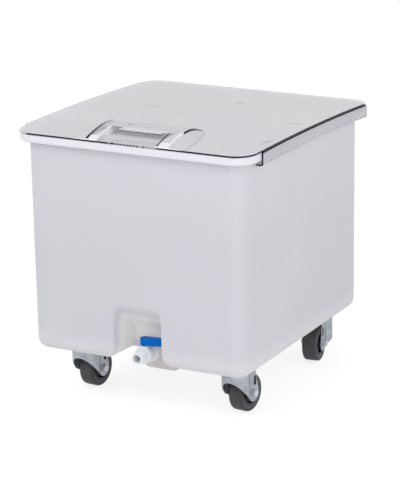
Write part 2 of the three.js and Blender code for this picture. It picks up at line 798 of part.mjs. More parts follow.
// Casters
function caster_plate() {
  const top = caster_height - seat_gap;
  const low = top - plate_thickness;
  const cup_low = low - race_cup_depth;
  const outline = rounded_outline(plate_width / 2, plate_depth / 2, plate_corner_radius, 1, 2);
  const head_room = king_pin_head_radius + seat_gap;
  const head_low = top - king_pin_head_height - seat_gap;
  let body = upright_prism(outline, low, top)
    .add(turned(rod_profile(race_cup_radius, cup_low, low + plate_thickness / 2), 18, true))
    .subtract(turned(rod_profile(head_room, head_low - seat_gap, top + overrun), 12, true))
    .subtract(turned(rod_profile(king_pin_radius + seat_gap, cup_low - overrun, top), 12, true));
  for (const [x, y] of bolt_places()) {
    const shank = turned(rod_profile(bolt_radius, low, pad_level - tank_floor), 6, true);
    const head_top = low + plate_thickness / 2;
    const head = turned(rod_profile(bolt_head_radius, low - bolt_head_height, head_top), 6, true);
    body = body.add(shank.add(head).translate([x, y, 0]));
  }
  return body;
}

function fork() {
  const half = fork_leg_span / 2;
  const outline = (inset, rear) => {
    const points = [];
    const radius = fork_crown_radius - inset;
    for (let i = 0; i <= 2 * corner_steps; i++) {
      const turn = Math.PI + (Math.PI * i) / (2 * corner_steps);
      points.push(new THREE.Vector2(radius * Math.cos(turn), radius * Math.sin(turn)));
    }
    const bend = caster_trail - fork_bend;
    points.push(new THREE.Vector2(half - inset, bend), new THREE.Vector2(half - inset, rear));
    points.push(new THREE.Vector2(-half + inset, rear), new THREE.Vector2(-half + inset, bend));
    return points;
  };
  const rear = caster_trail + wheel_radius;
  const shell = upright_prism(outline(0, rear), 0, fork_crown_level).subtract(
    upright_prism(outline(fork_plate, rear + overrun), -overrun, fork_crown_level - fork_plate),
  );
  const axle = [caster_trail, wheel_radius];
  const ahead = -fork_crown_radius - overrun;
  const hood_low = axle[1] + fork_front_rise;
  const side = [[ahead, fork_crown_level], [ahead, hood_low], [-fork_crown_radius, hood_low], [0, axle[1]]];
  const lean = Math.acos(fork_end_radius / caster_trail);
  const from = Math.PI + lean;
  const to = 2 * Math.PI + Math.PI / 12;
  for (let i = 0; i <= corner_steps; i++) {
    const turn = from + ((to - from) * i) / corner_steps;
    side.push([axle[0] + fork_end_radius * Math.cos(turn), axle[1] + fork_end_radius * Math.sin(turn)]);
  }
  const shoulder = fork_crown_level - fork_end_radius;
  side.push([axle[0] + fork_rear_top, shoulder], [axle[0], fork_crown_level]);
  const bore = side_rod(axle_radius + seat_gap, 12, fork_crown_radius).translate([0, ...axle]);
  const slot_middle = [axle[0] + fork_slot_setback, axle[1] + fork_slot_rise];
  const slot_reach = (fork_slot_length - fork_slot_width) / 2;
  const slot_end = side_rod(fork_slot_width / 2, 10, fork_crown_radius);
  const slot = slot_end
    .translate([0, slot_middle[0], slot_middle[1] + slot_reach])
    .add(slot_end.translate([0, slot_middle[0], slot_middle[1] - slot_reach]))
    .add(block(2 * fork_crown_radius, fork_slot_width, 2 * slot_reach, 0, ...slot_middle));
  return shell
    .intersect(side_prism(side, ahead, -ahead))
    .subtract(bore)
    .subtract(slot)
    .subtract(turned(rod_profile(king_pin_radius + seat_gap, axle[1], fork_crown_level + overrun), 12, true));
}

// A rod across the cart, centred on x
function side_rod(radius, sides, half_length) {
  const geometry = new THREE.CylinderGeometry(radius, radius, 2 * half_length, sides);
  return solid(geometry, new THREE.Matrix4().makeRotationZ(Math.PI / 2));
}

// A body revolved on the wheel's axle, from pairs of radius and place across the wheel
function on_axle(profile, sides) {
  return turned(profile, sides).rotate([0, 0, -90]).translate([0, caster_trail, wheel_radius]);
}

function caster(spot) {
  const group = new THREE.Group();
  group.position.set(spot.x, spot.y, 0);
  const add = (parent, piece, body, finish) => parent.add(mesh_of(spot.name + "_" + piece, body, finish));
  add(group, "plate", caster_plate(), "zinc");
  const race_low = fork_crown_level + seat_gap;
  const race_high = caster_height - 2 * seat_gap - plate_thickness - race_cup_depth;
  const bulge = (race_high - race_low) / 4;
  const race = [
    [race_inner_radius, race_low],
    [race_outer_radius - bulge, race_low],
    [race_outer_radius, race_low + bulge],
    [race_outer_radius, race_high - bulge],
    [race_outer_radius - bulge, race_high],
    [race_inner_radius, race_high],
  ];
  add(group, "ball_race", turned(race, 12, true), "zinc");
  const pin_low = fork_crown_level - fork_plate - seat_gap;
  const pin_high = caster_height - 2 * seat_gap;
  const pin = [
    [0, pin_low - king_pin_head_height],
    [king_pin_head_radius, pin_low - king_pin_head_height],
    [king_pin_head_radius, pin_low],
    [king_pin_radius, pin_low],
    [king_pin_radius, pin_high - king_pin_head_height],
    [king_pin_head_radius, pin_high - king_pin_head_height],
    [king_pin_head_radius, pin_high],
    [0, pin_high],
  ];
  add(group, "king_pin", turned(pin, 10, true), "zinc");

  const swivel = new THREE.Group();
  swivel.rotation.z = THREE.MathUtils.degToRad(spot.turn);
  group.add(swivel);
  add(swivel, "fork", fork(), "zinc");
  const leg = fork_leg_span / 2;
  const nut_start = -leg - seat_gap - axle_nut_height;
  const bolt = on_axle(rod_profile(axle_radius, nut_start - axle_end, leg + seat_gap), 12).add(
    on_axle(rod_profile(axle_head_radius, leg + seat_gap, leg + seat_gap + axle_head_height), 6),
  );
  add(swivel, "axle_bolt", bolt, "zinc");
  const nut = on_axle(rod_profile(axle_head_radius, nut_start, -leg - seat_gap), 6).subtract(
    on_axle(rod_profile(axle_radius + seat_gap, nut_start - overrun, 0), 12),
  );
  add(swivel, "axle_nut", nut, "zinc");
  const bushing_bore = axle_radius + seat_gap;
  const bushing_radius = bushing_bore + bushing_wall;
  const inner_leg = leg - fork_plate - seat_gap;
  const bushing = ring_profile(bushing_bore, bushing_radius, -inner_leg, inner_leg);
  add(swivel, "bushing", on_axle(bushing, 10), "zinc");

  const half = wheel_width / 2;
  const bore = bushing_radius + seat_gap;
  const rim_half = half - hub_side_recess;
  const well = hub_radius - hub_rim;
  const hub = [
    [bore, -half],
    [hub_boss_radius, -half],
    [hub_boss_radius, -hub_web / 2],
    [well, -hub_web / 2],
    [well, -rim_half],
    [hub_radius, -rim_half],
    [hub_radius, rim_half],
    [well, rim_half],
    [well, hub_web / 2],
    [hub_boss_radius, hub_web / 2],
    [hub_boss_radius, half],
    [bore, half],
  ];
  add(swivel, "hub", on_axle(hub, 12), "hub");
  const tyre_bore = hub_radius + seat_gap;
  const tyre = [
    [tyre_bore, -rim_half],
    [tyre_bore + tyre_side_step, -half],
    [wheel_radius - 2 * tyre_shoulder, -half],
    [wheel_radius, -half + 2 * tyre_shoulder],
    [wheel_radius, half - 2 * tyre_shoulder],
    [wheel_radius - 2 * tyre_shoulder, half],
    [tyre_bore + tyre_side_step, half],
    [tyre_bore, rim_half],
  ];
  add(swivel, "tyre", on_axle(tyre, 24), "tyre");
  return group;
}

const cart = new THREE.Group();
cart.add(mesh_of("tank", tank(), "tank"));
cart.add(mesh_of("lid", lid(), "lid"));
cart.add(mesh_of("drain_shelf", drain_shelf(), "shelf"));
cart.add(valve());
for (const spot of caster_spots) cart.add(caster(spot));

export default cart;
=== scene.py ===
# Looks of the ingredient cart: a moulded tank, its clear sliding lid, the drain valve and four casters
import math

import bmesh
import bpy
from mathutils import Matrix, Vector


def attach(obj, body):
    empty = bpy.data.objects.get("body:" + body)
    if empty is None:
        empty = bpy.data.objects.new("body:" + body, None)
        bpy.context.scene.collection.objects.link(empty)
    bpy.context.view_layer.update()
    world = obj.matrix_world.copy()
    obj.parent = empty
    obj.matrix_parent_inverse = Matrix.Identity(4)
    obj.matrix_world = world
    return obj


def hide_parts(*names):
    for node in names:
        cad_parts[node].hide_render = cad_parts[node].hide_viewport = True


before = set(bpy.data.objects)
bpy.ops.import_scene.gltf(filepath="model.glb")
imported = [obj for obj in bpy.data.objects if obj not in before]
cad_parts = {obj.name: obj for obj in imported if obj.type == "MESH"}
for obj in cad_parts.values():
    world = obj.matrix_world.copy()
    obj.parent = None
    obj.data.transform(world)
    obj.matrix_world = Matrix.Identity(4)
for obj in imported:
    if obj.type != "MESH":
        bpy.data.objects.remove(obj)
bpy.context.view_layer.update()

# Shared values, in millimetres, as every size below
mm = 0.001
seat_gap = 0.3
overrun = 5
weld_distance = 0.0005
face_margin = 1  # how far off a form's edge its faces still count to it
corners = [(-1, -1), (1, -1), (1, 1), (-1, 1)]

# How far a face looks along an axis, as a share of its normal
slightly = 0.3
halfway = 0.5
mostly = 0.8
squarely = 0.9

# Tank
tank_top_width = 474
tank_bottom_width = 472
tank_top_depth = 531
tank_bottom_depth = 529
caster_height = 108
tank_wall = 4.5
tank_floor = 6
tank_corner_radius = 32
tank_bottom_fillet = 20
pad_width = 96
pad_depth = 70
pad_rise = 14
corner_steps = 16
fillet_steps = 8
front_steps = 6

# Curved track and rolled rim
overall_height = 554
track_radius = 6600
track_apex = 130
rim_side_overhang = 18
rim_end_overhang = 14.5
rim_band = 16
rim_wall = 4.5
rim_corner_radius = 42
rim_edge_radius = 3.5
rim_inner_radius = 2
rim_root = 2  # chamfer under the rim's roof
rim_foot = 1

# Lid
lid_sheet = 3.2
lid_side_clearance = 1
lid_end_overhang = 0.5
lid_edge_radius = 0.7
lid_least_step = 0.12
skirt_wall = 3
skirt_depth = 30
skirt_front_setback = 58
skirt_rear_setback = 30
hook_width = 16.5
hook_bend_radius = 6
skirt_root = 0.2
skirt_rear_corner = 15
skirt_corner_share = 0.7
skirt_line = 5  # how far down the skirt the painted dark line along its upper edge reaches
# Width of the painted shade along the skirt's bend
skirt_bend_line = 3
skirt_margin = 0.3

# Pull handle in the lid
hood_front_width = 244
hood_rear_width = 200
hood_ridge_width = 176
hood_length = 150
hood_height = 17.5
hood_shell = 3
hood_foot_width = 3
hood_ridge_blend = 1.2
hood_margin = 4
hood_least_rise = 0.3
# Widths of the painted highlights and dark lines on the handle and along its foot
hood_line = 2.2
hood_foot_line = 3
hood_arch_shares = [(0, 0.14), (0.11, 0.44), (0.29, 0.78), (0.5, 1), (0.7, 0.84), (0.86, 0.42), (1, 0)]
grip_width = 128
grip_depth = 53
grip_back_depth = 76
grip_back_slope = 12
grip_lip_width = 96
grip_lip_gap = 8.5
grip_lip_radius = 1.4
grip_lip_line = 2  # width of the painted dark line along the lip's lower edge
# Where the painted white at the back of the pocket begins, as a share of its depth
pocket_gleam_start = 0.8
arm_foot = 0.28  # these three in shares of an arm's length and width, for its painted highlight and wedge of painted shade
arm_wedge_start = 0.35
arm_wedge_growth = 1.1
front_edge_waves = (0.9, 0.37)  # where the painted dark line along the front edge breaks off
front_edge_fade = 40

# Alcove and sump
alcove_offset = 4
alcove_width = 108
alcove_back_width = 84
alcove_recess = 70
alcove_height = 120
alcove_roof = 75
alcove_edge_radius = 30
alcove_steps = 14
# Where the alcove's painted light reaches on the tank
alcove_finish_top = 260
alcove_finish_reach = 10
sump_offset = 14
sump_width = 72
sump_length = 80
sump_drop = 31
sump_corner_radius = 9
sump_fillet = 7

# Drain valve
valve_offset = 4
valve_rise = 13
drain_bore_radius = 8
drain_tube_wall = 2.4
gasket_thickness = 2
drain_flange_thickness = 4
drain_socket = 20.5
body_radius = 17.5
body_collar_radius = 20.5
body_collar_length = 20
body_bore_radius = 13.4
body_chamfer = 2.5
body_neck = 1
body_edge = 0.5
ball_radius = 11.5
nozzle_length = 23
nozzle_wall = 3.8
nozzle_collar_radius = 15
nozzle_collar_length = 9
thread_pitch = 2.3
thread_depth = 0.8
thread_flat = 0.1
thread_runout = 0.4
thread_end = 2
thread_crest_shares = (0.35, 0.6)
nozzle_edge = 0.6
nozzle_mouth = 0.7
nozzle_tip = 1.2
nozzle_tip_drop = 0.9
bonnet_radius = 9.5
bonnet_rise = 18.2
stem_radius = 4
stem_seal_width = 2.4
stem_seal_height = 3
lever_rise = 0.8
lever_height = 15
lever_length = 44
lever_boss_radius = 9.5
lever_tip_radius = 6.5
lever_shell = 2.5
lever_rest_turn = 12
lever_edge_radius = 1.6
lever_recess_radius = 5.2
lever_recess_depth = 3.4
lever_screw_shank_radius = 1.6

# Casters
wheel_radius = 38
wheel_width = 31
caster_trail = 30
front_caster_spread = 339
rear_caster_spread = 332
front_caster_setback = 167.6
rear_caster_setback = 215.5
bolt_spacing_x = 64
bolt_spacing_y = 42
bolt_radius = 3
bolt_clearance = 0.4
king_pin_radius = 5
fork_plate = 2.5
fork_crown_level = 96
fork_crown_radius = 29.5
fork_leg_span = 42
fork_bend = 16
# Width of the painted shade along the fork's crease, and how near the side its faces lie
fork_bend_line = 2
fork_crease_margin = 0.1
fork_end_radius = 16.5
fork_end_lean = 15
fork_front_rise = 37
fork_rear_top = 7.4
fork_slot_width = 9.5
fork_slot_length = 20
fork_slot_rise = 26
fork_slot_setback = 4
fork_edge_radius = 0.5
axle_radius = 4
axle_head_radius = 7.2
axle_head_height = 5
axle_nut_height = 6
axle_end = 2
axle_tip = 0.6
axle_head_sink = 1
axle_head_reach = 1  # how far past the head's corners the cone reaches that turns them off
axle_head_chamfer = 1.4
bushing_wall = 1.9
hub_radius = 25
hub_boss_radius = 10.5
hub_web = 9
hub_rim = 3
hub_side_recess = 1
hub_boss_chamfer = 1
hub_boss_fillet = 3
hub_well_fillet = 4
hub_rim_chamfer = 0.8
tyre_side_step = 3
tyre_shoulder = 4.4
tyre_bead = [(0, 0.6), (0.8, 0.2)]  # rise from the bore and drop from the hub's side
tyre_ring = [(-0.8, 0.3), (0, 0), (0.9, 0), (1.5, 0.5)]  # rise from the step and drop from the side
tyre_tread_edge = 0.6

# The photograph's camera
view_azimuth = 28.23
view_elevation = 16.6
view_roll = -0.98
view_distance = 4492
view_target = (2.8, 1.5, 285.8)
view_focal_pixels = 2224.13
picture_height = 483
sensor_size = 36
stage_reach = 30000

# Places worked out from the sizes
rim_half_width = tank_top_width / 2 + rim_side_overhang
rim_half_depth = tank_top_depth / 2 + rim_end_overhang
lid_half_width = rim_half_width + lid_side_clearance
lid_half_depth = rim_half_depth + lid_end_overhang
rim_drop = lid_sheet + seat_gap
floor_level = caster_height + tank_floor
pad_level = floor_level + pad_rise
valve_level = caster_height + valve_rise
tube_radius = drain_bore_radius + drain_tube_wall
rim_outside = (rim_half_width, rim_half_depth, rim_corner_radius)
wall_outside = (tank_top_width / 2, tank_top_depth / 2, tank_corner_radius)
hood_ridge = hood_ridge_width / 2
hood_crest = hood_length / 2
crest_line = 0.6 * hood_line
grip_side = grip_width / 2
axle_seat = fork_leg_span / 2 + seat_gap
nut_end = -axle_seat - axle_nut_height


def tank_half(foot, top, level):
    """Half a size of the tank at a level, between its sizes at the foot and at the top."""
    share = (level - caster_height) / (overall_height - caster_height)
    return (foot + (top - foot) * share) / 2


def tank_half_depth(level):
    return tank_half(tank_bottom_depth, tank_top_depth, level)


def tank_half_width(level):
    return tank_half(tank_bottom_width, tank_top_width, level)


alcove_back = alcove_recess - tank_half_depth(valve_level)


def on_track(y, rise):
    """A point of the curved track: y along the cart, rise above the lid's upper face."""
    turn = (y + track_apex) / track_radius
    radius = track_radius + rise
    return radius * math.sin(turn) - track_apex, overall_height - track_radius + radius * math.cos(turn)


def clamp(value, low=0.0, high=1.0):
    return max(low, min(high, value))


def smooth(share):
    share = clamp(share)
    return share * share * (3 - 2 * share)


def spaced(low, high, count):
    return [low + (high - low) * i / count for i in range(count + 1)]


# Mesh building
def reworked(piece, change):
    """Change a piece's mesh by a function of its bmesh."""
    work = bmesh.new()
    work.from_mesh(piece.data)
    change(work)
    work.to_mesh(piece.data)
    work.free()
    return piece


def welded(work):
    bmesh.ops.remove_doubles(work, verts=work.verts, dist=weld_distance * mm)
    bmesh.ops.recalc_face_normals(work, faces=work.faces)


def new_piece(name, points, faces):
    mesh = bpy.data.meshes.new(name)
    mesh.from_pydata([Vector(p) * mm for p in points], [], faces)
    piece = bpy.data.objects.new(name, mesh)
    bpy.context.scene.collection.objects.link(piece)
    return reworked(piece, welded)


def split(piece, planes, picked=lambda face: True):
    """Split the picked faces of a piece where planes cross them, each an axis and a place on it."""

    def change(work):
        faces = [f for f in work.faces if picked(f)]
        around = faces + [e for f in faces for e in f.edges] + [v for f in faces for v in f.verts]
        around = list(dict.fromkeys(around))
        for axis, place in planes:
            facing = Vector([float(axis == other) for other in "XYZ"])
            plane = {"plane_co": facing * place * mm, "plane_no": facing, "dist": weld_distance * mm}
            around = bmesh.ops.bisect_plane(work, geom=around, **plane)["geom"]

    return reworked(piece, change)


def settle(piece):
    """Apply the piece's modifiers to its mesh."""
    graph = bpy.context.evaluated_depsgraph_get()
    made = bpy.data.meshes.new_from_object(piece.evaluated_get(graph))
    old = piece.data
    piece.modifiers.clear()
    piece.data = made
    bpy.data.meshes.remove(old)


def combine(body, tool, operation):
    step = body.modifiers.new("combine", "BOOLEAN")
    step.operation = operation
    step.solver = "MANIFOLD"
    step.object = tool
    settle(body)
    bpy.data.objects.remove(tool)
    return body


def add(body, tool):
    return combine(body, tool, "UNION")


def cut(body, tool):
    return combine(body, tool, "DIFFERENCE")


def common(body, tool):
    return combine(body, tool, "INTERSECT")


def bevelled(piece, radius, segments=2, angle=40):
    step = piece.modifiers.new("edges", "BEVEL")
    step.width = radius * mm
    step.segments = segments
    step.limit_method = "ANGLE"
    step.angle_limit = math.radians(angle)
    step.use_clamp_overlap = True
    settle(piece)
    return piece


def moved(piece, x=0, y=0, z=0, turn=0):
    place = Matrix.Translation(Vector((x, y, z)) * mm)
    piece.data.transform(place @ Matrix.Rotation(math.radians(turn), 4, "Z"))
    return piece


def lofted(name, rings, looped=False):
    """Rings of points joined by quads, closed by end faces or into a loop."""
    count = len(rings[0])
    points = [p for ring in rings for p in ring]
    faces = []
    for level in range(len(rings) if looped else len(rings) - 1):
        low = level * count
        high = (level + 1) % len(rings) * count
        for i in range(count):
            after = (i + 1) % count
            faces.append((low + i, low + after, high + after, high + i))
    if not looped:
        faces.append(tuple(reversed(range(count))))
        faces.append(tuple(range(len(points) - count, len(points))))
    return new_piece(name, points, faces)


def upright_prism(name, outline, low, high):
    return lofted(name, [[(x, y, z) for x, y in outline] for z in (low, high)])


def side_prism(name, outline, left, right):
    return lofted(name, [[(x, y, z) for y, z in outline] for x in (left, right)])


def block(name, width, depth, height, x, y, z):
    outline = [(x + sx * width / 2, y + sy * depth / 2) for sx, sy in corners]
    return upright_prism(name, outline, z - height / 2, z + height / 2)


def turned(name, profile, sides, axis="Z"):
    """A body revolved on an axis, from pairs of radius and place along it."""
    order = {"X": (2, 0, 1), "Y": (0, 2, 1), "Z": (0, 1, 2)}[axis]
    rings = []
    for i in range(sides):
        turn = 2 * math.pi * i / sides
        points = [(r * math.cos(turn), r * math.sin(turn), h) for r, h in profile]
        rings.append([tuple(point[at] for at in order) for point in points])
    return lofted(name, rings, looped=True)


def rod_profile(radius, low, high):
    return [(0, low), (radius, low), (radius, high), (0, high)]


def bored(body, radius, low, high, sides, axis="Z", place=(0, 0, 0)):
    """Cut a round hole between two distances along an axis from the place."""
    return cut(body, moved(turned("bore", rod_profile(radius, low, high), sides, axis), *place))


def arc(x, y, radius, start, end, steps):
    """Points of an arc, with its angles in degrees."""
    turns = [math.radians(a) for a in spaced(start, end, steps)]
    return [(x + radius * math.cos(t), y + radius * math.sin(t)) for t in turns]


def round_foot(fillet):
    """Pairs of lift from the bottom and pull from the side, up a fillet."""
    return [(fillet + low, fillet - out) for out, low in arc(0, 0, fillet, -90, 0, fillet_steps)]


# Materials
# Painted light on the tank: paler towards the top between the upper levels and at the foot between the
# foot levels
upper_light_levels = (300, 520)
foot_light_levels = (165, 105)
# Painted light deep in the alcove, rising between these depths behind its front
alcove_light_depths = (3, 32)
# Painted shade in the pocket, greyer towards the front between these shares of its depth
pocket_shade_shares = (0.9, 0.1)
gloss_spread = 0.06

# Smudges on the lid: x, y, half length, half width and turn of each
lid_smudges = [
    (8, 262, 28, 10, 9),
    (12, 61, 8, 6, 8),
    (-112, 14, 34, 6, 6),
    (-28, -16, 10, 5, 6),
    (217, -2, 26, 5, 11),
    (31, 124, 18, 9, 15),
    (236, -160, 36, 6, 78),
]


def fill(made, **values):
    """Set a node's inputs, to values or linked to sockets, and its settings."""
    for key, value in values.items():
        if key not in made.inputs:
            setattr(made, key, value)
        elif isinstance(value, bpy.types.NodeSocket):
            made.id_data.links.new(value, made.inputs[key])
        else:
            made.inputs[key].default_value = value
    return made


def node(tree, kind, **values):
    return fill(tree.nodes.new(kind), **values)


def piece_place(tree):
    return node(tree, "ShaderNodeTexCoord").outputs["Object"]


def grain(tree, scale, detail, roughness=0.5):
    values = {"Scale": scale, "Detail": detail, "Roughness": roughness}
    return node(tree, "ShaderNodeTexNoise", Vector=piece_place(tree), **values).outputs["Fac"]


def ranged(tree, source, low, high, start=0.3, end=0.7, kind="LINEAR"):
    """The source from start to end, spread from low to high."""
    values = {"From Min": start, "From Max": end, "To Min": low, "To Max": high, "Value": source}
    return node(tree, "ShaderNodeMapRange", interpolation_type=kind, **values).outputs["Result"]


def mixed(tree, source, first, second):
    """A colour, or a socket's colour, turned into a second one by the source."""
    mix = node(tree, "ShaderNodeMix", data_type="RGBA", Factor=source)
    colours = [s for s in mix.inputs if s.type == "RGBA"]
    if isinstance(first, tuple):
        colours[0].default_value = (*first, 1)
    else:
        tree.links.new(first, colours[0])
    colours[1].default_value = (*second, 1)
    return next(s for s in mix.outputs if s.type == "RGBA")


def computed(tree, operation, first, second):
    """What an operation makes of two sockets' values."""
    made = node(tree, "ShaderNodeMath", operation=operation)
    tree.links.new(first, made.inputs[0])
    tree.links.new(second, made.inputs[1])
    return made.outputs[0]


def new_material(name):
    made = bpy.data.materials.new(name)
    made.use_nodes = True
    return made, made.node_tree, made.node_tree.nodes["Principled BSDF"]


def surfaced(name, colour, second, patch, gloss, texture=None, **values):
    """A material with patches of two colours, uneven gloss and a fine texture.

    Each is a grain's scale and detail, then for gloss its two roughnesses, for texture its depth.
    """
    made, tree, shader = new_material(name)
    patches = ranged(tree, grain(tree, *patch), 0, 1)
    values["Base Color"] = mixed(tree, patches, colour, second)
    values["Roughness"] = ranged(tree, grain(tree, *gloss[:2]), *gloss[2:])
    if texture:
        height = grain(tree, *texture[:2])
        bump = node(tree, "ShaderNodeBump", Strength=1.0, Distance=texture[2], Height=height)
        values["Normal"] = bump.outputs["Normal"]
    fill(shader, **values)
    return made


def tinted(made, source, colour):
    """Lay a colour over a material's own, by a source."""
    tree = made.node_tree
    tint = tree.nodes["Principled BSDF"].inputs["Base Color"]
    tree.links.new(mixed(tree, source, tint.links[0].from_socket, colour), tint)


def moulded(name, colour, second, roughness, patch=9, shine=0.5):
    """Moulded plastic or rubber."""
    gloss = (4 * patch, 5, roughness - gloss_spread, roughness + gloss_spread)
    values = {"Specular IOR Level": shine}
    return surfaced(name, colour, second, (patch, 4), gloss, (900, 2, 0.00002), **values)


def along(made, axis, low, high):
    """Nought to one between two places on an axis of the piece."""
    tree = made.node_tree
    place = node(tree, "ShaderNodeSeparateXYZ", Vector=piece_place(tree)).outputs[axis]
    return ranged(tree, place, 0, 1, low * mm, high * mm, "SMOOTHSTEP")


def tank_moulding(name, alcove=False):
    """The tank's plastic, with painted light: paler towards the rim and paler still at the foot, greyer in
    the middle of its walls.
    """
    made = moulded(name, (0.655, 0.652, 0.705), (0.68, 0.68, 0.74), 0.42, patch=4)
    # Painted light: paler towards the rim and at the foot
    tinted(made, along(made, "Z", *upper_light_levels), (0.70, 0.70, 0.757))
    tinted(made, along(made, "Z", *foot_light_levels), (0.765, 0.752, 0.785))
    # Painted light deep in the alcove, paler where the recess lies in shade
    if alcove:
        front = -tank_half_depth(valve_level)
        deep = [front + depth for depth in alcove_light_depths]
        tinted(made, along(made, "Y", *deep), (0.95, 0.925, 0.91))
    return made


def zinc_plate(name, colour, second, metallic=0.85):
    gloss = (260, 4, 0.32, 0.5)
    return surfaced(name, colour, second, (60, 5, 0.6), gloss, (700, 3, 0.00003), Metallic=metallic)


def smudge(made, x, y, long, wide, turn):
    """Lay a faint grey smudge over the lid's colour."""
    tree = made.node_tree
    spot = node(tree, "ShaderNodeMapping", vector_type="TEXTURE", Vector=piece_place(tree))
    place = (x * mm, y * mm, overall_height * mm)
    fill(spot, Location=place, Rotation=(0, 0, math.radians(turn)), Scale=(long * mm, wide * mm, 1))
    away = node(tree, "ShaderNodeVectorMath", operation="LENGTH", Vector=spot.outputs["Vector"])
    near = ranged(tree, away.outputs["Value"], 0, 1, 1, 0, "SMOOTHSTEP")
    uneven = ranged(tree, grain(tree, 70, 5), 0.2, 1)
    tinted(made, computed(tree, "MULTIPLY", near, uneven), (0.36, 0.36, 0.38))


def clear_plastic(name, colour, second, smudges=(), alpha=0.72):
    """Clear plastic hazed by use, with soft patches, that shows what is under it."""
    made = surfaced(name, colour, second, (5, 4), (30, 5, 0.1, 0.2), (8, 2, 0.0002), Alpha=alpha)
    for place in smudges:
        smudge(made, *place)
    return made


def pocket_painted_plastic(colour, second):
    """The pocket's walls and floor, opaque and painted pale where shade falls in the pocket, with painted
    shade greyer towards the front.
    """
    made = clear_plastic("clear_pocket_painted_light", colour, second, alpha=1)
    depths = [share * grip_depth - lid_half_depth for share in pocket_shade_shares]
    tinted(made, along(made, "Y", *depths), (0.69, 0.69, 0.73))
    return made


def clear_edge_painted_line():
    """A near-black finish for the painted dark lines that stand for the shade along clear plastic's edges.
    """
    colours = (0.004, 0.004, 0.006), (0.012, 0.012, 0.016)
    values = {"Specular IOR Level": 0.12}
    return surfaced("clear_edge_painted_line", *colours, (40, 4), (60, 4, 0.3, 0.4), **values)


finishes = {
    "tank": tank_moulding("tank_polyethylene"),
    # The alcove's plastic, with painted light deep inside it
    "alcove": tank_moulding("alcove_polyethylene_painted_light", alcove=True),
    # Painted shade on the sump and the tank's underside: a darker copy of the tank's plastic
    "sump": moulded("sump_polyethylene_painted_shade", (0.67, 0.64, 0.635), (0.71, 0.675, 0.67), 0.42, patch=4),
    # The rim painted paler than the walls: painted light
    "rim": moulded("rim_polyethylene_painted_light", (0.85, 0.85, 0.91), (0.87, 0.87, 0.93), 0.4, patch=4),
    "shelf": moulded("shelf_polyethylene", (0.70, 0.70, 0.74), (0.73, 0.73, 0.77), 0.5),
    "valve": moulded("valve_plastic", (0.87, 0.89, 0.92), (0.90, 0.92, 0.95), 0.32),
    "lever": moulded("lever_plastic", (0.0, 0.13, 0.52), (0.0, 0.15, 0.58), 0.45, shine=0.08),
    "seal": moulded("seal_rubber", (0.02, 0.02, 0.021), (0.03, 0.03, 0.031), 0.7),
    "seat": moulded("seat_resin", (0.55, 0.55, 0.53), (0.6, 0.6, 0.58), 0.4),
    "steel": zinc_plate("polished_steel", (0.33, 0.36, 0.40), (0.50, 0.52, 0.55)),
    "zinc": zinc_plate("zinc_plate", (0.31, 0.335, 0.375), (0.47, 0.49, 0.525)),
    "bolt": zinc_plate("zinc_bolt", (0.58, 0.60, 0.64), (0.72, 0.74, 0.77), 0.5),
    # Painted shade along the fork's crease
    "crease": zinc_plate("zinc_painted_crease_shade", (0.08, 0.08, 0.09), (0.13, 0.13, 0.145), 0.5),
    "hub": moulded("hub_plastic", (0.022, 0.018, 0.042), (0.03, 0.026, 0.052), 0.45, patch=40),
    "tyre": moulded("tyre_rubber", (0.045, 0.040, 0.047), (0.063, 0.056, 0.063), 0.62, patch=40),
    "lid": clear_plastic("clear_plastic", (0.90, 0.89, 0.94), (0.94, 0.93, 0.98), lid_smudges),
    # A darker copy of the clear plastic: painted shade on the skirt, and faint painted shade lines on the
    # handle and the lip
    "skirt": clear_plastic("clear_skirt_painted_shade", (0.68, 0.67, 0.73), (0.71, 0.70, 0.76)),
    # Painted shade: grey lines and patches on the clear plastic
    "smoke": clear_plastic("clear_shade", (0.52, 0.52, 0.56), (0.60, 0.60, 0.64)),
    # The pocket painted pale, with painted shade towards the front
    "pale": pocket_painted_plastic((0.93, 0.93, 0.97), (0.97, 0.97, 1.0)),
    "hood": clear_plastic("clear_handle", (0.92, 0.92, 0.97), (0.95, 0.95, 1.0), alpha=0.5),
    # Painted highlights: opaque white where clear edges catch light, and at the back of the pocket in
    # place of its shade
    "gleam": moulded("clear_gleam", (0.95, 0.95, 0.96), (0.97, 0.97, 0.98), 0.2),
    # Painted dark lines along the clear plastic's edges
    "edge": clear_edge_painted_line(),
    "screw": moulded("screw_coating", (0.015, 0.035, 0.10), (0.02, 0.045, 0.13), 0.4, patch=60),
    # A painted highlight on the raised ring of the tyre's side
    "tyre_ring": moulded("tyre_ring_painted_highlight", (0.115, 0.11, 0.14), (0.14, 0.135, 0.165), 0.55, patch=40),
    "tyre_side": moulded("tyre_side_rubber", (0.036, 0.034, 0.038), (0.05, 0.046, 0.05), 0.6, patch=40),
}


def coated(piece, *names):
    """Give a piece finishes in place of those it had, the first of them on all its faces."""
    piece.data.materials.clear()
    for name in names:
        piece.data.materials.append(finishes[name])


def dressed(piece, names, pick):
    """Give each face of a piece the finish that pick names for its middle and normal."""
    coated(piece, *names)
    for polygon in piece.data.polygons:
        polygon.material_index = names.index(pick(polygon.center / mm, polygon.normal))
    return piece


def finished(piece, body, node_name, slot, angle=32, finish=None):
    """Smooth a piece, give it its finish if it has none, hang it on its body and hide the part it stands
    for.
    """
    if not any(piece.data.materials):
        coated(piece, finish or slot)
    for polygon in piece.data.polygons:
        polygon.use_smooth = True
    piece.data.set_sharp_from_angle(angle=math.radians(angle))
    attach(piece, body)
    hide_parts(node_name)


# Tank
side_shares = spaced(-1, 1, 24)[1:-1]
alcove_back_shares = [-1.2, -2.4]  # the stations on the alcove's back wall


def alcove_stations():
    """Stations over the alcove from left to right: a side and how far towards its front they lie."""
    shares = spaced(1, 0, alcove_steps) + alcove_back_shares
    return [(-1, share) for share in shares] + [(1, share) for share in reversed(shares)]


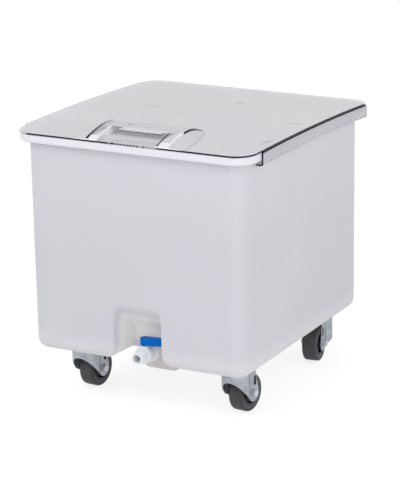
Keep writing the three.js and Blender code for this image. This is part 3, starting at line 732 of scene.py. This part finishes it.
def rounded_outline(half_width, half_depth, radius, plain=False):
    """Outline of a rounded rectangle, anticlockwise from the right end of the front side."""
    reach_x = half_width - radius
    reach_y = half_depth - radius
    beside = alcove_width / 2 + alcove_edge_radius + tank_wall
    left, right = alcove_offset - beside, alcove_offset + beside
    front = spaced(-reach_x, left, front_steps)[1:-1]
    front += spaced(left, right, len(alcove_stations()) - 1) + spaced(right, reach_x, front_steps)[1:-1]
    sides = [
        [(half_width, reach_y * share) for share in side_shares],
        [(-reach_x * share, half_depth) for share in side_shares],
        [(-half_width, -reach_y * share) for share in side_shares],
        [(x, -half_depth) for x in front],
    ]
    points = []
    for quarter, (x, y) in enumerate(corners[1:] + corners[:1]):
        start = 90 * quarter - 90
        points += arc(x * reach_x, y * reach_y, radius, start, start + 90, corner_steps)
        points += [] if plain else sides[quarter]
    return points


def alcove_line(level, grow, front):
    """The wall round the alcove at a level, from left to right, where the wall's front is at front."""
    full = caster_height + alcove_height + grow - alcove_roof
    foot = floor_level if grow else caster_height
    up = clamp((level - foot) / (caster_height + alcove_edge_radius - foot))
    flare = (alcove_edge_radius - grow) * (1 - math.sqrt(1 - (1 - up) ** 2))
    plain_front = -tank_half_depth(level)
    depth = (alcove_back + grow + flare - plain_front) * (1 - smooth((level - full) / alcove_roof))
    line = []
    for side, inward in alcove_stations():
        width = alcove_back_width + (alcove_width - alcove_back_width) * inward
        x = alcove_offset + side * (width / 2 + grow + flare)
        line.append((x, max(front, plain_front + depth * smooth(1 - inward)), level))
    return line


def tank_ring(level, inset, pull):
    """One level of the tank's wall, inset by the wall for its inside and pulled in at the fillet."""
    size = (tank_half_width(level), tank_half_depth(level), tank_corner_radius)
    ring = [(x, y, level) for x, y in rounded_outline(*[length - inset - pull for length in size])]
    last = len(ring) - front_steps + 1
    first = last - len(alcove_stations())
    ring[first:last] = alcove_line(level, inset, pull + inset - tank_half_depth(level))
    return ring


def tank_side(inset, low):
    """The rings of the tank's outside or inside, close together along the alcove."""
    fillet = tank_bottom_fillet - inset
    rings = [tank_ring(low + lift, inset, pull) for lift, pull in round_foot(fillet)]
    roof = caster_height + alcove_height + 2 * tank_wall
    below_rim = on_track(rim_half_depth, -rim_drop - rim_band)[1] - overrun
    levels = spaced(low + fillet, roof, 26)[1:] + spaced(roof, below_rim, 6)[1:]
    return rings + [tank_ring(level, inset, 0) for level in levels]


def rim_ring(inset, rise, outside):
    """A ring at a rise from the track, inset from the outside of the rim or of the tank's wall."""
    outline = rounded_outline(*[length - inset for length in outside])
    return [(x, y, on_track(y, rise)[1]) for x, y in outline]


def rim_rings():
    """The rings from the wall's top out under the rim, round it and back to the wall's inside."""
    top = -rim_drop
    bottom = top - rim_band
    roof = top - rim_wall
    edge = rim_edge_radius
    under = [(0, roof - rim_root), (-rim_root, roof)]
    band = [(rim_wall + rim_root, roof), (rim_wall, roof - rim_root)]
    band += [(rim_wall, bottom + rim_foot), (rim_wall - rim_foot, bottom)]
    band += arc(edge, bottom + edge, edge, 270, 180, 6) + arc(edge, top - edge, edge, 180, 90, 6)
    mouth = [(-tank_wall, top)]
    mouth += arc(tank_wall - rim_inner_radius, top - rim_inner_radius, rim_inner_radius, 90, 0, 4)
    sections = [(under, wall_outside), (band, rim_outside), (mouth, wall_outside)]
    return [rim_ring(*place, outside) for section, outside in sections for place in section]


def sump(inset):
    """The sump's outside or inside, up into the tank."""
    bottom = caster_height - sump_drop + inset
    middle = alcove_back + sump_length / 2
    size = (sump_width / 2 - inset, sump_length / 2 - inset)
    rings = []
    for lift, pull in round_foot(sump_fillet - inset / 2):
        radius = sump_corner_radius - inset / 2 - pull / 2
        outline = rounded_outline(size[0] - pull, size[1] - pull, radius, plain=True)
        rings.append([(x + sump_offset, y + middle, bottom + lift) for x, y in outline])
    top = caster_height + alcove_edge_radius + (overrun if inset else 0)
    rings.append([(x, y, top) for x, y, _ in rings[-1]])
    return lofted("sump", rings)


caster_spots = [
    ("front_left", -front_caster_spread / 2, -front_caster_setback, -4),
    ("front_right", front_caster_spread / 2, -front_caster_setback, -5.7),
    ("rear_left", -rear_caster_spread / 2, rear_caster_setback, 172),
    ("rear_right", rear_caster_spread / 2, rear_caster_setback, 187.7),
]


def in_tank(x, y, margin):
    """Whether a point lies inside the tank's upper outline, widened by the margin."""
    over_x = abs(x) - tank_top_width / 2 + tank_corner_radius
    over_y = abs(y) - tank_top_depth / 2 + tank_corner_radius
    return math.hypot(max(over_x, 0), max(over_y, 0)) < tank_corner_radius + margin


def tank():
    rings = tank_side(0, caster_height) + rim_rings() + list(reversed(tank_side(tank_wall, floor_level)))
    body = lofted("tank_moulding", rings)
    sump_top = caster_height + 2 * alcove_edge_radius
    inside = [ring for ring in tank_side(tank_wall, floor_level) if ring[0][2] < sump_top]
    add(body, cut(sump(0), lofted("inside", inside)))
    bolt_end = pad_level - tank_floor / 2
    rise = bolt_end - caster_height
    for _, x, y, _ in caster_spots:
        add(body, block("pad", pad_width, pad_depth, rise, x, y, pad_level - rise / 2))
    cut(body, sump(tank_wall))
    drain = (valve_offset, alcove_back, valve_level)
    bored(body, tube_radius + seat_gap, -overrun, 2 * overrun, 32, "Y", drain)
    for _, x, y, _ in caster_spots:
        for sx, sy in sorted(corners):
            place = (x + sx * bolt_spacing_x / 2, y + sy * bolt_spacing_y / 2)
            bored(body, bolt_radius + bolt_clearance, caster_height - overrun, bolt_end, 16, place=place)
    dressed(body, ["tank", "rim", "alcove", "sump"], tank_finish)
    finished(body, "tank", "tank", "tank")


def tank_finish(centre, normal):
    """The finish of a face of the tank, by where it lies: painted light on the rim and deep in the alcove,
    painted shade on the sump and the underside.
    """
    x, y, z = centre
    reach = alcove_finish_reach
    ahead_of_back = y < alcove_back + face_margin
    under_band = on_track(y, -rim_drop - rim_band - face_margin)[1]
    if z > under_band and not in_tank(x, y, rim_root + face_margin):
        return "rim"
    by_sump = y > alcove_back - face_margin and abs(x - sump_offset) < sump_width / 2 + face_margin
    if by_sump and z < caster_height + reach:
        return "sump" if z < caster_height or ahead_of_back else "tank"
    if ahead_of_back and abs(x - alcove_offset) < alcove_width / 2 + reach and z < alcove_finish_top:
        return "alcove"
    # The tank's underside takes the sump's painted shade
    return "sump" if z < caster_height - face_margin / 2 else "tank"


# Lid
def lid_half_width_at(y):
    over = max(0, abs(y) - lid_half_depth + rim_corner_radius)
    return lid_half_width - rim_corner_radius + math.sqrt(max(0, rim_corner_radius**2 - over**2))


def hood_rise(y):
    """Height of the handle's ridge at y, on a smooth curve through its shares."""
    share = clamp((y + lid_half_depth) / hood_length)
    points = hood_arch_shares
    at = next(i for i in range(len(points) - 1) if points[i + 1][0] >= share)
    before = points[max(at - 1, 0)]
    start, end = points[at], points[at + 1]
    after = points[min(at + 2, len(points) - 1)]
    width = end[0] - start[0]
    t = (share - start[0]) / width
    slope_start = (end[1] - before[1]) / (end[0] - before[0])
    slope_end = (after[1] - start[1]) / (after[0] - start[0])
    bend = width * t * (1 - t) * ((1 - t) * slope_start - t * slope_end)
    return hood_height * clamp(start[1] + (end[1] - start[1]) * smooth(t) + bend)


def soft_min(a, b, reach):
    h = clamp(0.5 + 0.5 * (b - a) / reach)
    return b + (a - b) * h - reach * h * (1 - h)


def hood_foot(y):
    """Where the handle's side meets the plain sheet, as a distance from the lid's middle."""
    share = clamp((y + lid_half_depth) / hood_length)
    least = hood_ridge + hood_foot_width
    return least + (hood_front_width / 2 - least) * (1 - share * share)


def hood_at(x, y):
    """Height of the lid's upper face over its plain sheet."""
    foot = hood_foot(y)
    rise = hood_rise(y)
    side = rise * (foot - abs(x)) / (foot - hood_ridge)
    return max(0, soft_min(rise, side, hood_ridge_blend))


def eased(radius, steps):
    """Distances from an edge that step evenly round its radius."""
    return [radius * (1 - math.cos(math.radians(turn))) for turn in spaced(0, 90, steps)]


def lid_stations():
    """Places along the lid: the rounded corners, the handle and the plain rest."""
    ends = eased(lid_edge_radius, 3) + eased(rim_corner_radius, 20)
    front = sorted(set(ends + spaced(2, hood_length, 74)))
    middle = spaced(hood_length, 2 * lid_half_depth - rim_corner_radius, 16)[1:-1]
    places = front + middle + [2 * lid_half_depth - d for d in sorted(set(ends), reverse=True)]
    kept = [places[0]]
    for place in places[1:]:
        if place - kept[-1] > lid_least_step:
            kept.append(place)
    kept[-1] = 2 * lid_half_depth
    return [place - lid_half_depth for place in kept]


def lid_slab():
    """The sheet with the handle's hump, solid under it."""
    corner = lid_edge_radius
    hump = hood_front_width / 2 + hood_margin
    across = spaced(0, hump, 60)
    rings = []
    for y in lid_stations():
        end = min(lid_half_depth - abs(y), corner)
        pull = corner - math.sqrt(corner**2 - (corner - end) ** 2)
        half = lid_half_width_at(y) - pull
        right = across + spaced(hump, half - corner, 5)[1:]
        top = [(x, hood_at(x, y) - pull) for x in [-x for x in reversed(right[1:])] + right]
        under = pull - lid_sheet
        side = arc(half - corner, -pull - corner, corner, 90, 0, 3)[1:]
        side += arc(half - corner, under + corner, corner, 0, -90, 3)
        bottom = [(x, under) for x in reversed(right[:-1])] + [(-x, under) for x in right[1:-1]]
        section = top + side + bottom + [(-x, h) for x, h in reversed(side)]
        rings.append([(x, *on_track(y, rise)) for x, rise in section])
    return lofted("lid_moulding", rings)


def hood_hollow(inset):
    """The space under the handle's shell."""
    rings = []
    first = hood_arch_shares[1][0] * hood_length
    last = hood_arch_shares[5][0] * hood_length
    low = -lid_sheet - overrun
    ridge = hood_ridge - inset / 2
    for place in spaced(first, last, 40):
        y = place - lid_half_depth
        foot = hood_front_width + (hood_rear_width - hood_front_width) * place / hood_length
        foot = foot / 2 - inset
        rise = hood_rise(y) - inset
        right = [(foot, low), (foot, -inset), (ridge, rise)]
        section = [(-foot, low)] + right + [(-ridge, rise), (-foot, -inset)]
        rings.append([(x, *on_track(y, h)) for x, h in section])
    return lofted("hollow", rings)


def grip(grow):
    front = -lid_half_depth
    floor = -grow - lid_sheet if grow else 0
    bar = front + grip_depth
    back = front + grip_back_depth + grow
    under = hood_height if grow else hood_height - hood_shell
    top = hood_height + overrun
    outline = [(front - overrun, floor), (back, floor), (back + grip_back_slope, under)]
    outline += [(bar, under), (bar, top), (front - overrun, top)]
    half = grip_side + grow
    return side_prism("grip", [on_track(y, h) for y, h in outline], -half, half)


def grip_pocket():
    pocket = grip(0)
    y, z = on_track(-lid_half_depth + grip_depth + hood_shell / 2, grip_lip_gap + hood_height / 2)
    lip = block("lip", grip_lip_width, hood_shell, hood_height, 0, y, z)
    bevelled(lip, grip_lip_radius, 3)
    return cut(pocket, lip)


def hooked_skirt(side):
    """Side skirt of the lid, turned in under the rim."""
    outside = lid_half_width + skirt_wall
    corner = hook_bend_radius
    edge = lid_edge_radius
    tip = skirt_wall / 2
    section = [(lid_half_width - skirt_root, 0)] + arc(outside - edge, -edge, edge, 90, 0, 4)
    section.append((outside, -skirt_line))
    section += arc(outside - corner, corner - skirt_depth, corner, 0, -90, 6)
    section += arc(outside - hook_width + tip, tip - skirt_depth, tip, 270, 90, 6)
    section += arc(outside - corner, corner - skirt_depth, corner - skirt_wall, -90, 0, 6)
    front = skirt_front_setback - lid_half_depth
    rear = lid_half_depth - skirt_rear_setback
    bend = rear - skirt_rear_corner
    rings = []
    for y in spaced(front, bend, 36) + spaced(bend, rear, 8)[1:]:
        back = clamp((y - bend) / skirt_rear_corner)
        top = -skirt_rear_corner * (1 - math.sqrt(1 - back * back)) * skirt_corner_share
        rings.append([(side * x, *on_track(y, min(h, top))) for x, h in section])
    return lofted("skirt", rings)


def split_upright(piece, low, high, xs, rise):
    """Split the lid's faces that look ahead between two depths, at places x and at a rise."""
    planes = [("X", x) for x in xs] + [("Z", on_track(low, rise)[1])]
    split(piece, planes, lambda f: f.normal.y < -squarely and low < f.calc_center_median().y / mm < high)


def lid():
    body = lid_slab()
    cut(body, cut(hood_hollow(hood_shell), grip(hood_shell)))
    cut(body, grip_pocket())
    for side in (-1, 1):
        add(body, hooked_skirt(side))
    # The front edge and the lip are split so that their painted dark lines follow them
    front = -lid_half_depth
    straight = lid_half_width - rim_corner_radius
    split_upright(body, front - 1, front + lid_edge_radius, spaced(-straight, straight, 120), 0)
    bar = front + grip_depth
    side = grip_lip_width / 2 - grip_lip_line
    split_upright(body, bar - hood_shell, bar + hood_shell, (-side, side), grip_lip_gap + grip_lip_line)
    dressed(body, ["lid", "skirt", "smoke", "gleam", "edge", "pale", "hood"], lid_finish)
    finished(body, "lid", "lid", "lid", 28)


def lid_finish(centre, normal):
    """The finish of a face of the lid: clear, or the painted dark line or painted highlight that stands
    for the light a clear edge shows, and painted shade and light in the pocket and on the handle.
    """
    x, y, z = centre
    rise = z - on_track(y, 0)[1]
    ahead = y + lid_half_depth
    behind = lid_half_depth - y
    margin = face_margin / 2
    if ahead < lid_edge_radius and normal.y < -slightly:
        return front_edge_finish(x, rise)
    # The hooks' cut ends take painted dark lines
    if abs(normal.y) > squarely and abs(x) > rim_half_width - hook_width:
        return "edge"
    by_skirt = ahead > skirt_front_setback and behind > skirt_rear_setback
    if by_skirt and abs(x) > lid_half_width - skirt_margin:
        return skirt_finish(x, rise)
    at_side = abs(x) > lid_half_width_at(y) - lid_edge_radius
    # The sheet's side and rear edges take painted shade lines, dark on the right side's front half
    if (at_side or behind < lid_edge_radius) and abs(normal.z) < mostly and rise > -lid_sheet:
        return "edge" if x > 0 and y < 0 else "smoke"
    in_grip = abs(x) < grip_side + margin and margin < ahead < grip_back_depth + grip_back_slope
    if in_grip and rise < hood_rise(y) - face_margin:
        return pocket_finish(x, rise, ahead, normal)
    # A faint painted shade line along the handle's foot
    if normal.z > slightly and ahead < hood_end and abs(x - hood_foot(y)) < hood_foot_line / 2:
        return "skirt"
    if normal.z > slightly and rise > hood_least_rise:
        return handle_finish(x, ahead)
    return "lid"


def skirt_finish(x, rise):
    """The skirt's painted dark line along its upper edge, on the right, and the painted shade along the
    bend at its foot.
    """
    if rise > -skirt_line and x > 0:
        return "edge"
    bend = hook_bend_radius - skirt_depth - face_margin
    return "smoke" if abs(rise - bend) < skirt_bend_line / 2 else "skirt"


def front_edge_finish(x, rise):
    """The painted dark line along the lid's front edge, which breaks off under the pocket, with a painted
    highlight on its upper part.
    """
    if rise > 0:
        return "gleam"
    broken = sum(math.sin(x * wave) for wave in front_edge_waves) < x / front_edge_fade
    return "smoke" if abs(x) < grip_side and broken else "edge"


def pocket_finish(x, rise, ahead, normal):
    """The finishes inside the pocket, all painted light and shade: pale walls, painted white towards the
    bar, and the lip painted grey with a painted dark line along its lower edge and left end.
    """
    margin = face_margin / 2
    half = grip_lip_width / 2
    at_lip = abs(ahead - grip_depth - hood_shell / 2) < hood_shell and abs(x) < half + margin
    if at_lip and rise > grip_lip_gap - margin:
        dark = rise < grip_lip_gap + grip_lip_line or x < grip_lip_line - half
        return "edge" if dark else "skirt"
    return "gleam" if normal.z > -halfway and ahead > pocket_gleam_start * grip_depth else "pale"


# Painted highlights and painted dark lines on the handle, each a finish with its least and greatest x and
# distance behind the front edge
hood_end = 0.9 * hood_length
handle_lines = [
    ("edge", grip_side, grip_side + hood_line, -1, grip_depth),
    ("gleam", -grip_side - hood_line, -grip_side, -1, grip_depth),
    ("edge", -0.95 * grip_side, -0.6 * grip_side, grip_depth, grip_depth + hood_line),
    ("gleam", -grip_side, grip_side, grip_depth, grip_depth + hood_line),
    ("edge", -hood_ridge - 1.4 * hood_line, -hood_ridge + 1.6 * hood_line, -1, 0.7 * hood_length),
    ("gleam", hood_ridge - hood_line, hood_ridge + hood_line, -1, 0.42 * hood_length),
    ("edge", hood_ridge + 1, hood_ridge + 1 + 2 * hood_line, 0.4 * hood_length, hood_end),
    ("edge", -0.42 * hood_ridge, -0.3 * hood_ridge, hood_crest - hood_line, hood_crest + hood_line),
    ("smoke", -0.7 * hood_ridge, -0.42 * hood_ridge, hood_crest - hood_line, hood_crest + hood_line),
    ("skirt", -0.3 * hood_ridge, 0.9 * hood_ridge, hood_crest - crest_line, hood_crest + crest_line),
]


def handle_finish(x, ahead):
    """The finish of the handle's upper side, by the distance from the lid's front edge: painted highlights
    and painted dark lines, else clear.
    """
    for finish, left, right, near, far in handle_lines:
        if left < x < right and near < ahead < far:
            return finish
    if grip_side < abs(x) < hood_ridge and ahead < grip_depth:
        return arm_finish((abs(x) - grip_side) / (hood_ridge - grip_side), ahead / grip_depth, x > 0)
    return "hood" if abs(x) < hood_ridge else "lid"


def arm_finish(outwards, backwards, right):
    """The finish of an arm's top: a painted highlight at its foot, and a wedge of painted shade that grows
    towards the bar.
    """
    if backwards < arm_foot:
        return "gleam"
    grey = outwards < backwards - arm_wedge_start if right else 1 - outwards < arm_wedge_growth * backwards
    return "smoke" if grey else "lid"


# Drain valve, on the y axis with y as the distance ahead of the alcove's back wall
flange_back = seat_gap + gasket_thickness + seat_gap
body_back = flange_back + drain_flange_thickness + seat_gap
collar_front = body_back + body_collar_length
shoulder = body_back + drain_socket + seat_gap
ball_centre = shoulder + seat_gap + ball_radius
nozzle_back = 2 * ball_centre - shoulder
body_front = nozzle_back - seat_gap
nozzle_end = nozzle_back + nozzle_length
nozzle_radius = drain_bore_radius + nozzle_wall


def at_valve(piece):
    return moved(piece, valve_offset, alcove_back, valve_level, 180)


def valve_body():
    corner = body_chamfer
    collar = body_collar_radius - corner
    profile = [(tube_radius + seat_gap, body_back)]
    profile += arc(collar, body_back + corner, corner, -90, 0, 5)
    profile += arc(collar, collar_front - corner, corner, 0, 75, 4)
    profile.append((body_radius, collar_front + body_neck))
    profile += arc(body_radius - corner, body_front - corner, corner, 0, 90, 5)
    profile += [(body_bore_radius, body_front), (body_bore_radius, shoulder)]
    profile.append((tube_radius + seat_gap, shoulder))
    body = turned("valve_body_moulding", profile, 64, "Y")
    bonnet = rod_profile(bonnet_radius, body_bore_radius, bonnet_rise)
    add(body, moved(turned("bonnet", bonnet, 48), 0, ball_centre))
    stem_bore = stem_radius + seat_gap
    seal_bore = stem_bore + stem_seal_width + seat_gap
    seal_low = bonnet_rise - stem_seal_height - seat_gap
    for radius, low in ((stem_bore, 0), (seal_bore, seal_low)):
        bored(body, radius, low, bonnet_rise + overrun, 32, place=(0, ball_centre))
    bevelled(body, body_edge, 2, 50)
    finished(at_valve(body), "tank", "valve_body", "valve")


def valve_nozzle():
    """The outlet with its thread rings."""
    bore = drain_bore_radius
    start = nozzle_back + nozzle_collar_length
    count = round((nozzle_end - start - thread_end) / thread_pitch)
    root = nozzle_radius - thread_depth
    crest = nozzle_radius - thread_flat
    profile = [(bore, nozzle_back), (nozzle_collar_radius - nozzle_edge, nozzle_back)]
    profile += [(nozzle_collar_radius, nozzle_back + nozzle_edge), (nozzle_radius, start - thread_runout)]
    for i in range(count):
        low = start + thread_pitch * i
        profile.append((root, low))
        profile += [(crest, low + thread_pitch * share) for share in thread_crest_shares]
    profile += [(root, nozzle_end - nozzle_tip), (root - nozzle_tip_drop, nozzle_end)]
    profile += [(bore + nozzle_mouth, nozzle_end), (bore, nozzle_end - nozzle_mouth)]
    body = turned("valve_nozzle_moulding", profile, 64, "Y")
    finished(at_valve(body), "tank", "valve_nozzle", "valve", 25)


def lever_outline(inset):
    boss = lever_boss_radius - inset
    tip = lever_tip_radius - inset
    reach = lever_length - lever_tip_radius
    lean = math.degrees(math.asin((boss - tip) / reach))
    return arc(0, 0, boss, -90 - lean, 90 + lean, 28) + arc(-reach, 0, tip, 90 + lean, 270 - lean, 14)


def valve_lever():
    low = bonnet_rise + lever_rise
    high = low + lever_height
    recess_floor = high - lever_recess_depth
    socket_top = recess_floor - lever_shell
    body = upright_prism("valve_lever_moulding", lever_outline(0), low, high)
    bevelled(body, lever_edge_radius, 4, 60)
    cut(body, upright_prism("hollow", lever_outline(lever_shell), low - overrun, high - lever_shell))
    boss = rod_profile(stem_radius + lever_shell, low, high - lever_shell / 2)
    add(body, turned("boss", boss, 40))
    bored(body, lever_recess_radius, recess_floor, high + overrun, 40)
    bored(body, stem_radius + seat_gap, low - overrun, socket_top, 32)
    bored(body, lever_screw_shank_radius + seat_gap, low, high + overrun, 24)
    moved(moved(body, turn=lever_rest_turn), 0, ball_centre)
    finished(at_valve(body), "lever", "valve_lever", "lever")


# Casters
def fork_side():
    """Outline of the fork from the side: its hood, the end round the axle and the rear edge."""
    hood_level = wheel_radius + fork_front_rise
    front = -fork_crown_radius - overrun
    rear = caster_trail + fork_rear_top
    lean = math.degrees(math.acos(fork_end_radius / caster_trail))
    points = [(front, fork_crown_level), (front, hood_level), (-fork_crown_radius, hood_level)]
    points.append((0, wheel_radius))
    points += arc(caster_trail, wheel_radius, fork_end_radius, 180 + lean, 360 + fork_end_lean, 24)
    return points + [(rear, fork_crown_level - fork_end_radius), (caster_trail, fork_crown_level)]


def fork_slot():
    y = caster_trail + fork_slot_setback
    z = wheel_radius + fork_slot_rise
    end = fork_slot_width / 2
    reach = fork_slot_length / 2 - end
    return arc(y, z + reach, end, 0, 180, 12) + arc(y, z - reach, end, 180, 360, 12)


def fork():
    half = fork_leg_span / 2
    bend = caster_trail - fork_bend
    rear = caster_trail + wheel_radius
    wide = fork_crown_radius + overrun

    def outline(inset, rear):
        left = [(inset - half, rear), (inset - half, bend)]
        right = [(half - inset, bend), (half - inset, rear)]
        return arc(0, 0, fork_crown_radius - inset, 180, 360, 40) + right + left

    # Painted shade along the crease where the hood's side bends into the leg
    def finish(centre, normal):
        at_bend = abs(centre.x) > half - fork_crease_margin and bend < centre.y < bend + fork_bend_line
        return "crease" if at_bend else "zinc"

    shell = upright_prism("fork", outline(0, rear), 0, fork_crown_level)
    inside = outline(fork_plate, rear + overrun)
    cut(shell, upright_prism("inside", inside, -overrun, fork_crown_level - fork_plate))
    common(shell, side_prism("side", fork_side(), -wide, wide))
    bored(shell, axle_radius + seat_gap, -wide, wide, 32, "X", (0, caster_trail, wheel_radius))
    cut(shell, side_prism("slot", fork_slot(), -wide, wide))
    bored(shell, king_pin_radius + seat_gap, wheel_radius, fork_crown_level + overrun, 32)
    bevelled(shell, fork_edge_radius, 2, 45)
    split(shell, [("Y", bend), ("Y", bend + fork_bend_line)])
    return dressed(shell, ["zinc", "crease"], finish)


def hexagon_head(name, low, high, chamfer):
    """A hexagon on the x axis, its corners turned off at its high end, or if negative at its low end."""
    flat = axle_head_radius * math.cos(math.radians(30))
    wide = axle_head_radius + axle_head_reach
    if chamfer > 0:
        cone = [(0, low), (wide, low), (wide, high - chamfer), (flat, high), (0, high)]
    else:
        cone = [(0, low), (flat, low), (wide, low - chamfer), (wide, high), (0, high)]
    head = turned(name, rod_profile(axle_head_radius, low, high), 6, "X")
    return common(head, turned("cone", cone, 48, "X"))


def axle_bolt():
    low = nut_end - axle_end
    high = axle_seat + axle_head_sink
    shank = [(0, low), (axle_radius - axle_tip, low), (axle_radius, low + axle_tip)]
    head = hexagon_head("head", axle_seat, axle_seat + axle_head_height, axle_head_chamfer)
    return add(turned("bolt", shank + [(axle_radius, high), (0, high)], 32, "X"), head)


def axle_nut():
    nut = hexagon_head("nut", nut_end, -axle_seat, -axle_head_chamfer)
    return bored(nut, axle_radius + seat_gap, nut_end - overrun, 0, 32, "X")


def hub():
    half = wheel_width / 2
    bore = axle_radius + seat_gap + bushing_wall + seat_gap
    rim_half = half - hub_side_recess
    well = hub_radius - hub_rim
    web = hub_web / 2
    boss, fillet = hub_boss_radius, hub_boss_fillet
    right = [(bore, half), (boss - hub_boss_chamfer, half), (boss, half - hub_boss_chamfer)]
    right += arc(boss + fillet, web + fillet, fillet, 180, 270, 5)
    right += arc(well - hub_well_fillet, web + hub_well_fillet, hub_well_fillet, 270, 360, 5)
    right += [(well, rim_half - hub_rim_chamfer), (well + hub_rim_chamfer, rim_half)]
    right.append((hub_radius, rim_half))
    return turned("hub", right + [(r, -x) for r, x in reversed(right)], 72, "X")


def tyre():
    half = wheel_width / 2
    bore = hub_radius + seat_gap
    step = bore + tyre_side_step
    right = [(bore + rise, half - hub_side_recess - drop) for rise, drop in tyre_bead]
    right += [(step + rise, half - drop) for rise, drop in tyre_ring]
    right += arc(wheel_radius - tyre_shoulder, half - tyre_shoulder, tyre_shoulder, 84, 8, 8)
    right += [(wheel_radius, half / 2), (wheel_radius, 0)]

    def finish(centre, normal):
        radius = math.hypot(centre.y, centre.z)
        # The raised ring takes a painted highlight
        if step - face_margin < radius < step + 2 * face_margin:
            return "tyre_ring"
        return "tyre_side" if radius < wheel_radius - tyre_tread_edge else "tyre"

    body = turned("tyre", right + [(r, -x) for r, x in reversed(right[:-1])], 96, "X")
    return dressed(body, ["tyre", "tyre_side", "tyre_ring"], finish)


plain_caster_parts = ["plate", "ball_race", "king_pin", "bushing"]
# Each part that is made again: its function, body, slot, sharp angle and finish
caster_pieces = [
    ("fork", fork, "fork", "zinc", 26, "zinc"),
    ("axle_bolt", axle_bolt, "fork", "zinc", 35, "bolt"),
    ("axle_nut", axle_nut, "fork", "zinc", 35, "bolt"),
    ("hub", hub, "wheel", "hub", 35, "hub"),
    ("tyre", tyre, "wheel", "tyre", 35, "tyre"),
]


def caster(name, x, y, turn):
    for part, make, body, slot, angle, finish in caster_pieces:
        piece = make()
        piece.name = f"{name}_{part}_fine"
        if part != "fork":
            moved(piece, 0, caster_trail, wheel_radius)
        moved(moved(piece, turn=turn), x, y)
        finished(piece, f"{name}_{body}", f"{name}_{part}", slot, angle, finish)


def carried_over():
    """Finish the pieces that stay as they are."""
    kept = {
        "shelf": ["drain_shelf"],
        "valve": ["drain_tube", "drain_nut"],
        "screw": ["lever_screw"],
        "seal": ["outer_gasket", "inner_gasket", "stem_seal"],
        "seat": ["rear_seat", "front_seat"],
        "steel": ["valve_ball", "valve_stem"],
        "zinc": [f"{spot[0]}_{part}" for spot in caster_spots for part in plain_caster_parts],
    }
    for finish, names in kept.items():
        for name in names:
            coated(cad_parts[name], finish)


# Stage: floor, backdrop, light and the photograph's camera
def seen_directly(tree):
    """One for the camera's, glossy and transmission rays, otherwise nought."""
    path = node(tree, "ShaderNodeLightPath").outputs
    turned_ray = computed(tree, "MAXIMUM", path["Is Glossy Ray"], path["Is Transmission Ray"])
    return computed(tree, "MAXIMUM", path["Is Camera Ray"], turned_ray)


def stage_material():
    """White where it is seen, with the cart's shadow on it, and a plain pale floor to other rays."""
    made, tree, shader = new_material("stage_white")
    seen = seen_directly(tree)
    values = {
        "Base Color": mixed(tree, seen, (0.9, 0.9, 0.9), (0.36, 0.36, 0.36)),
        "Roughness": 0.9,
        "Specular IOR Level": 0,
        "Emission Color": (1, 1, 1, 1),
        "Emission Strength": ranged(tree, seen, 0, 0.79, 0, 1),
    }
    fill(shader, **values)
    return made


def stage():
    floor = new_piece("floor", [(x * stage_reach, y * stage_reach, 0) for x, y in corners], [(0, 1, 2, 3)])
    floor.data.materials.append(stage_material())


def lamp(name, place, target, size, power):
    data = bpy.data.lights.new(name, "AREA")
    data.shape = "SQUARE"
    data.size = size
    data.energy = power
    made = bpy.data.objects.new(name, data)
    made.location = place
    made.rotation_euler = (Vector(target) - Vector(place)).to_track_quat("-Z", "Y").to_euler()
    bpy.context.scene.collection.objects.link(made)


def light():
    world = bpy.data.worlds.new("studio")
    world.use_nodes = True
    bpy.context.scene.world = world
    tree = world.node_tree
    strength = ranged(tree, seen_directly(tree), 0.57, 1, 0, 1)
    fill(tree.nodes["Background"], Color=(1, 1, 1, 1), Strength=strength)
    lamp("key", (-1.6, -2.6, 3.0), (0, 0, 0.3), 2.2, 40)
    lamp("fill", (3.0, -0.6, 1.6), (0, 0, 0.3), 2.2, 20)
    lamp("low", (1.7, -2.6, 0.4), (0, -0.2, 0.2), 1.4, 13)


def camera():
    """The photograph's camera, turned from straight above to its azimuth, elevation and roll."""
    turn = Matrix.Rotation(math.radians(view_azimuth), 3, "Z")
    turn = turn @ Matrix.Rotation(math.radians(90 - view_elevation), 3, "X")
    turn = turn @ Matrix.Rotation(math.radians(view_roll), 3, "Z")
    data = bpy.data.cameras.new("camera")
    data.sensor_width = sensor_size
    data.lens = view_focal_pixels * sensor_size / picture_height
    made = bpy.data.objects.new("camera", data)
    place = (Vector(view_target) + turn @ Vector((0, 0, view_distance))) * mm
    made.matrix_world = Matrix.Translation(place) @ turn.to_4x4()
    bpy.context.scene.collection.objects.link(made)
    bpy.context.scene.camera = made


bpy.context.scene.view_settings.view_transform = "Standard"
camera()
stage()
light()
tank()
lid()
valve_body()
valve_nozzle()
valve_lever()
for spot in caster_spots:
    caster(*spot)
carried_over()
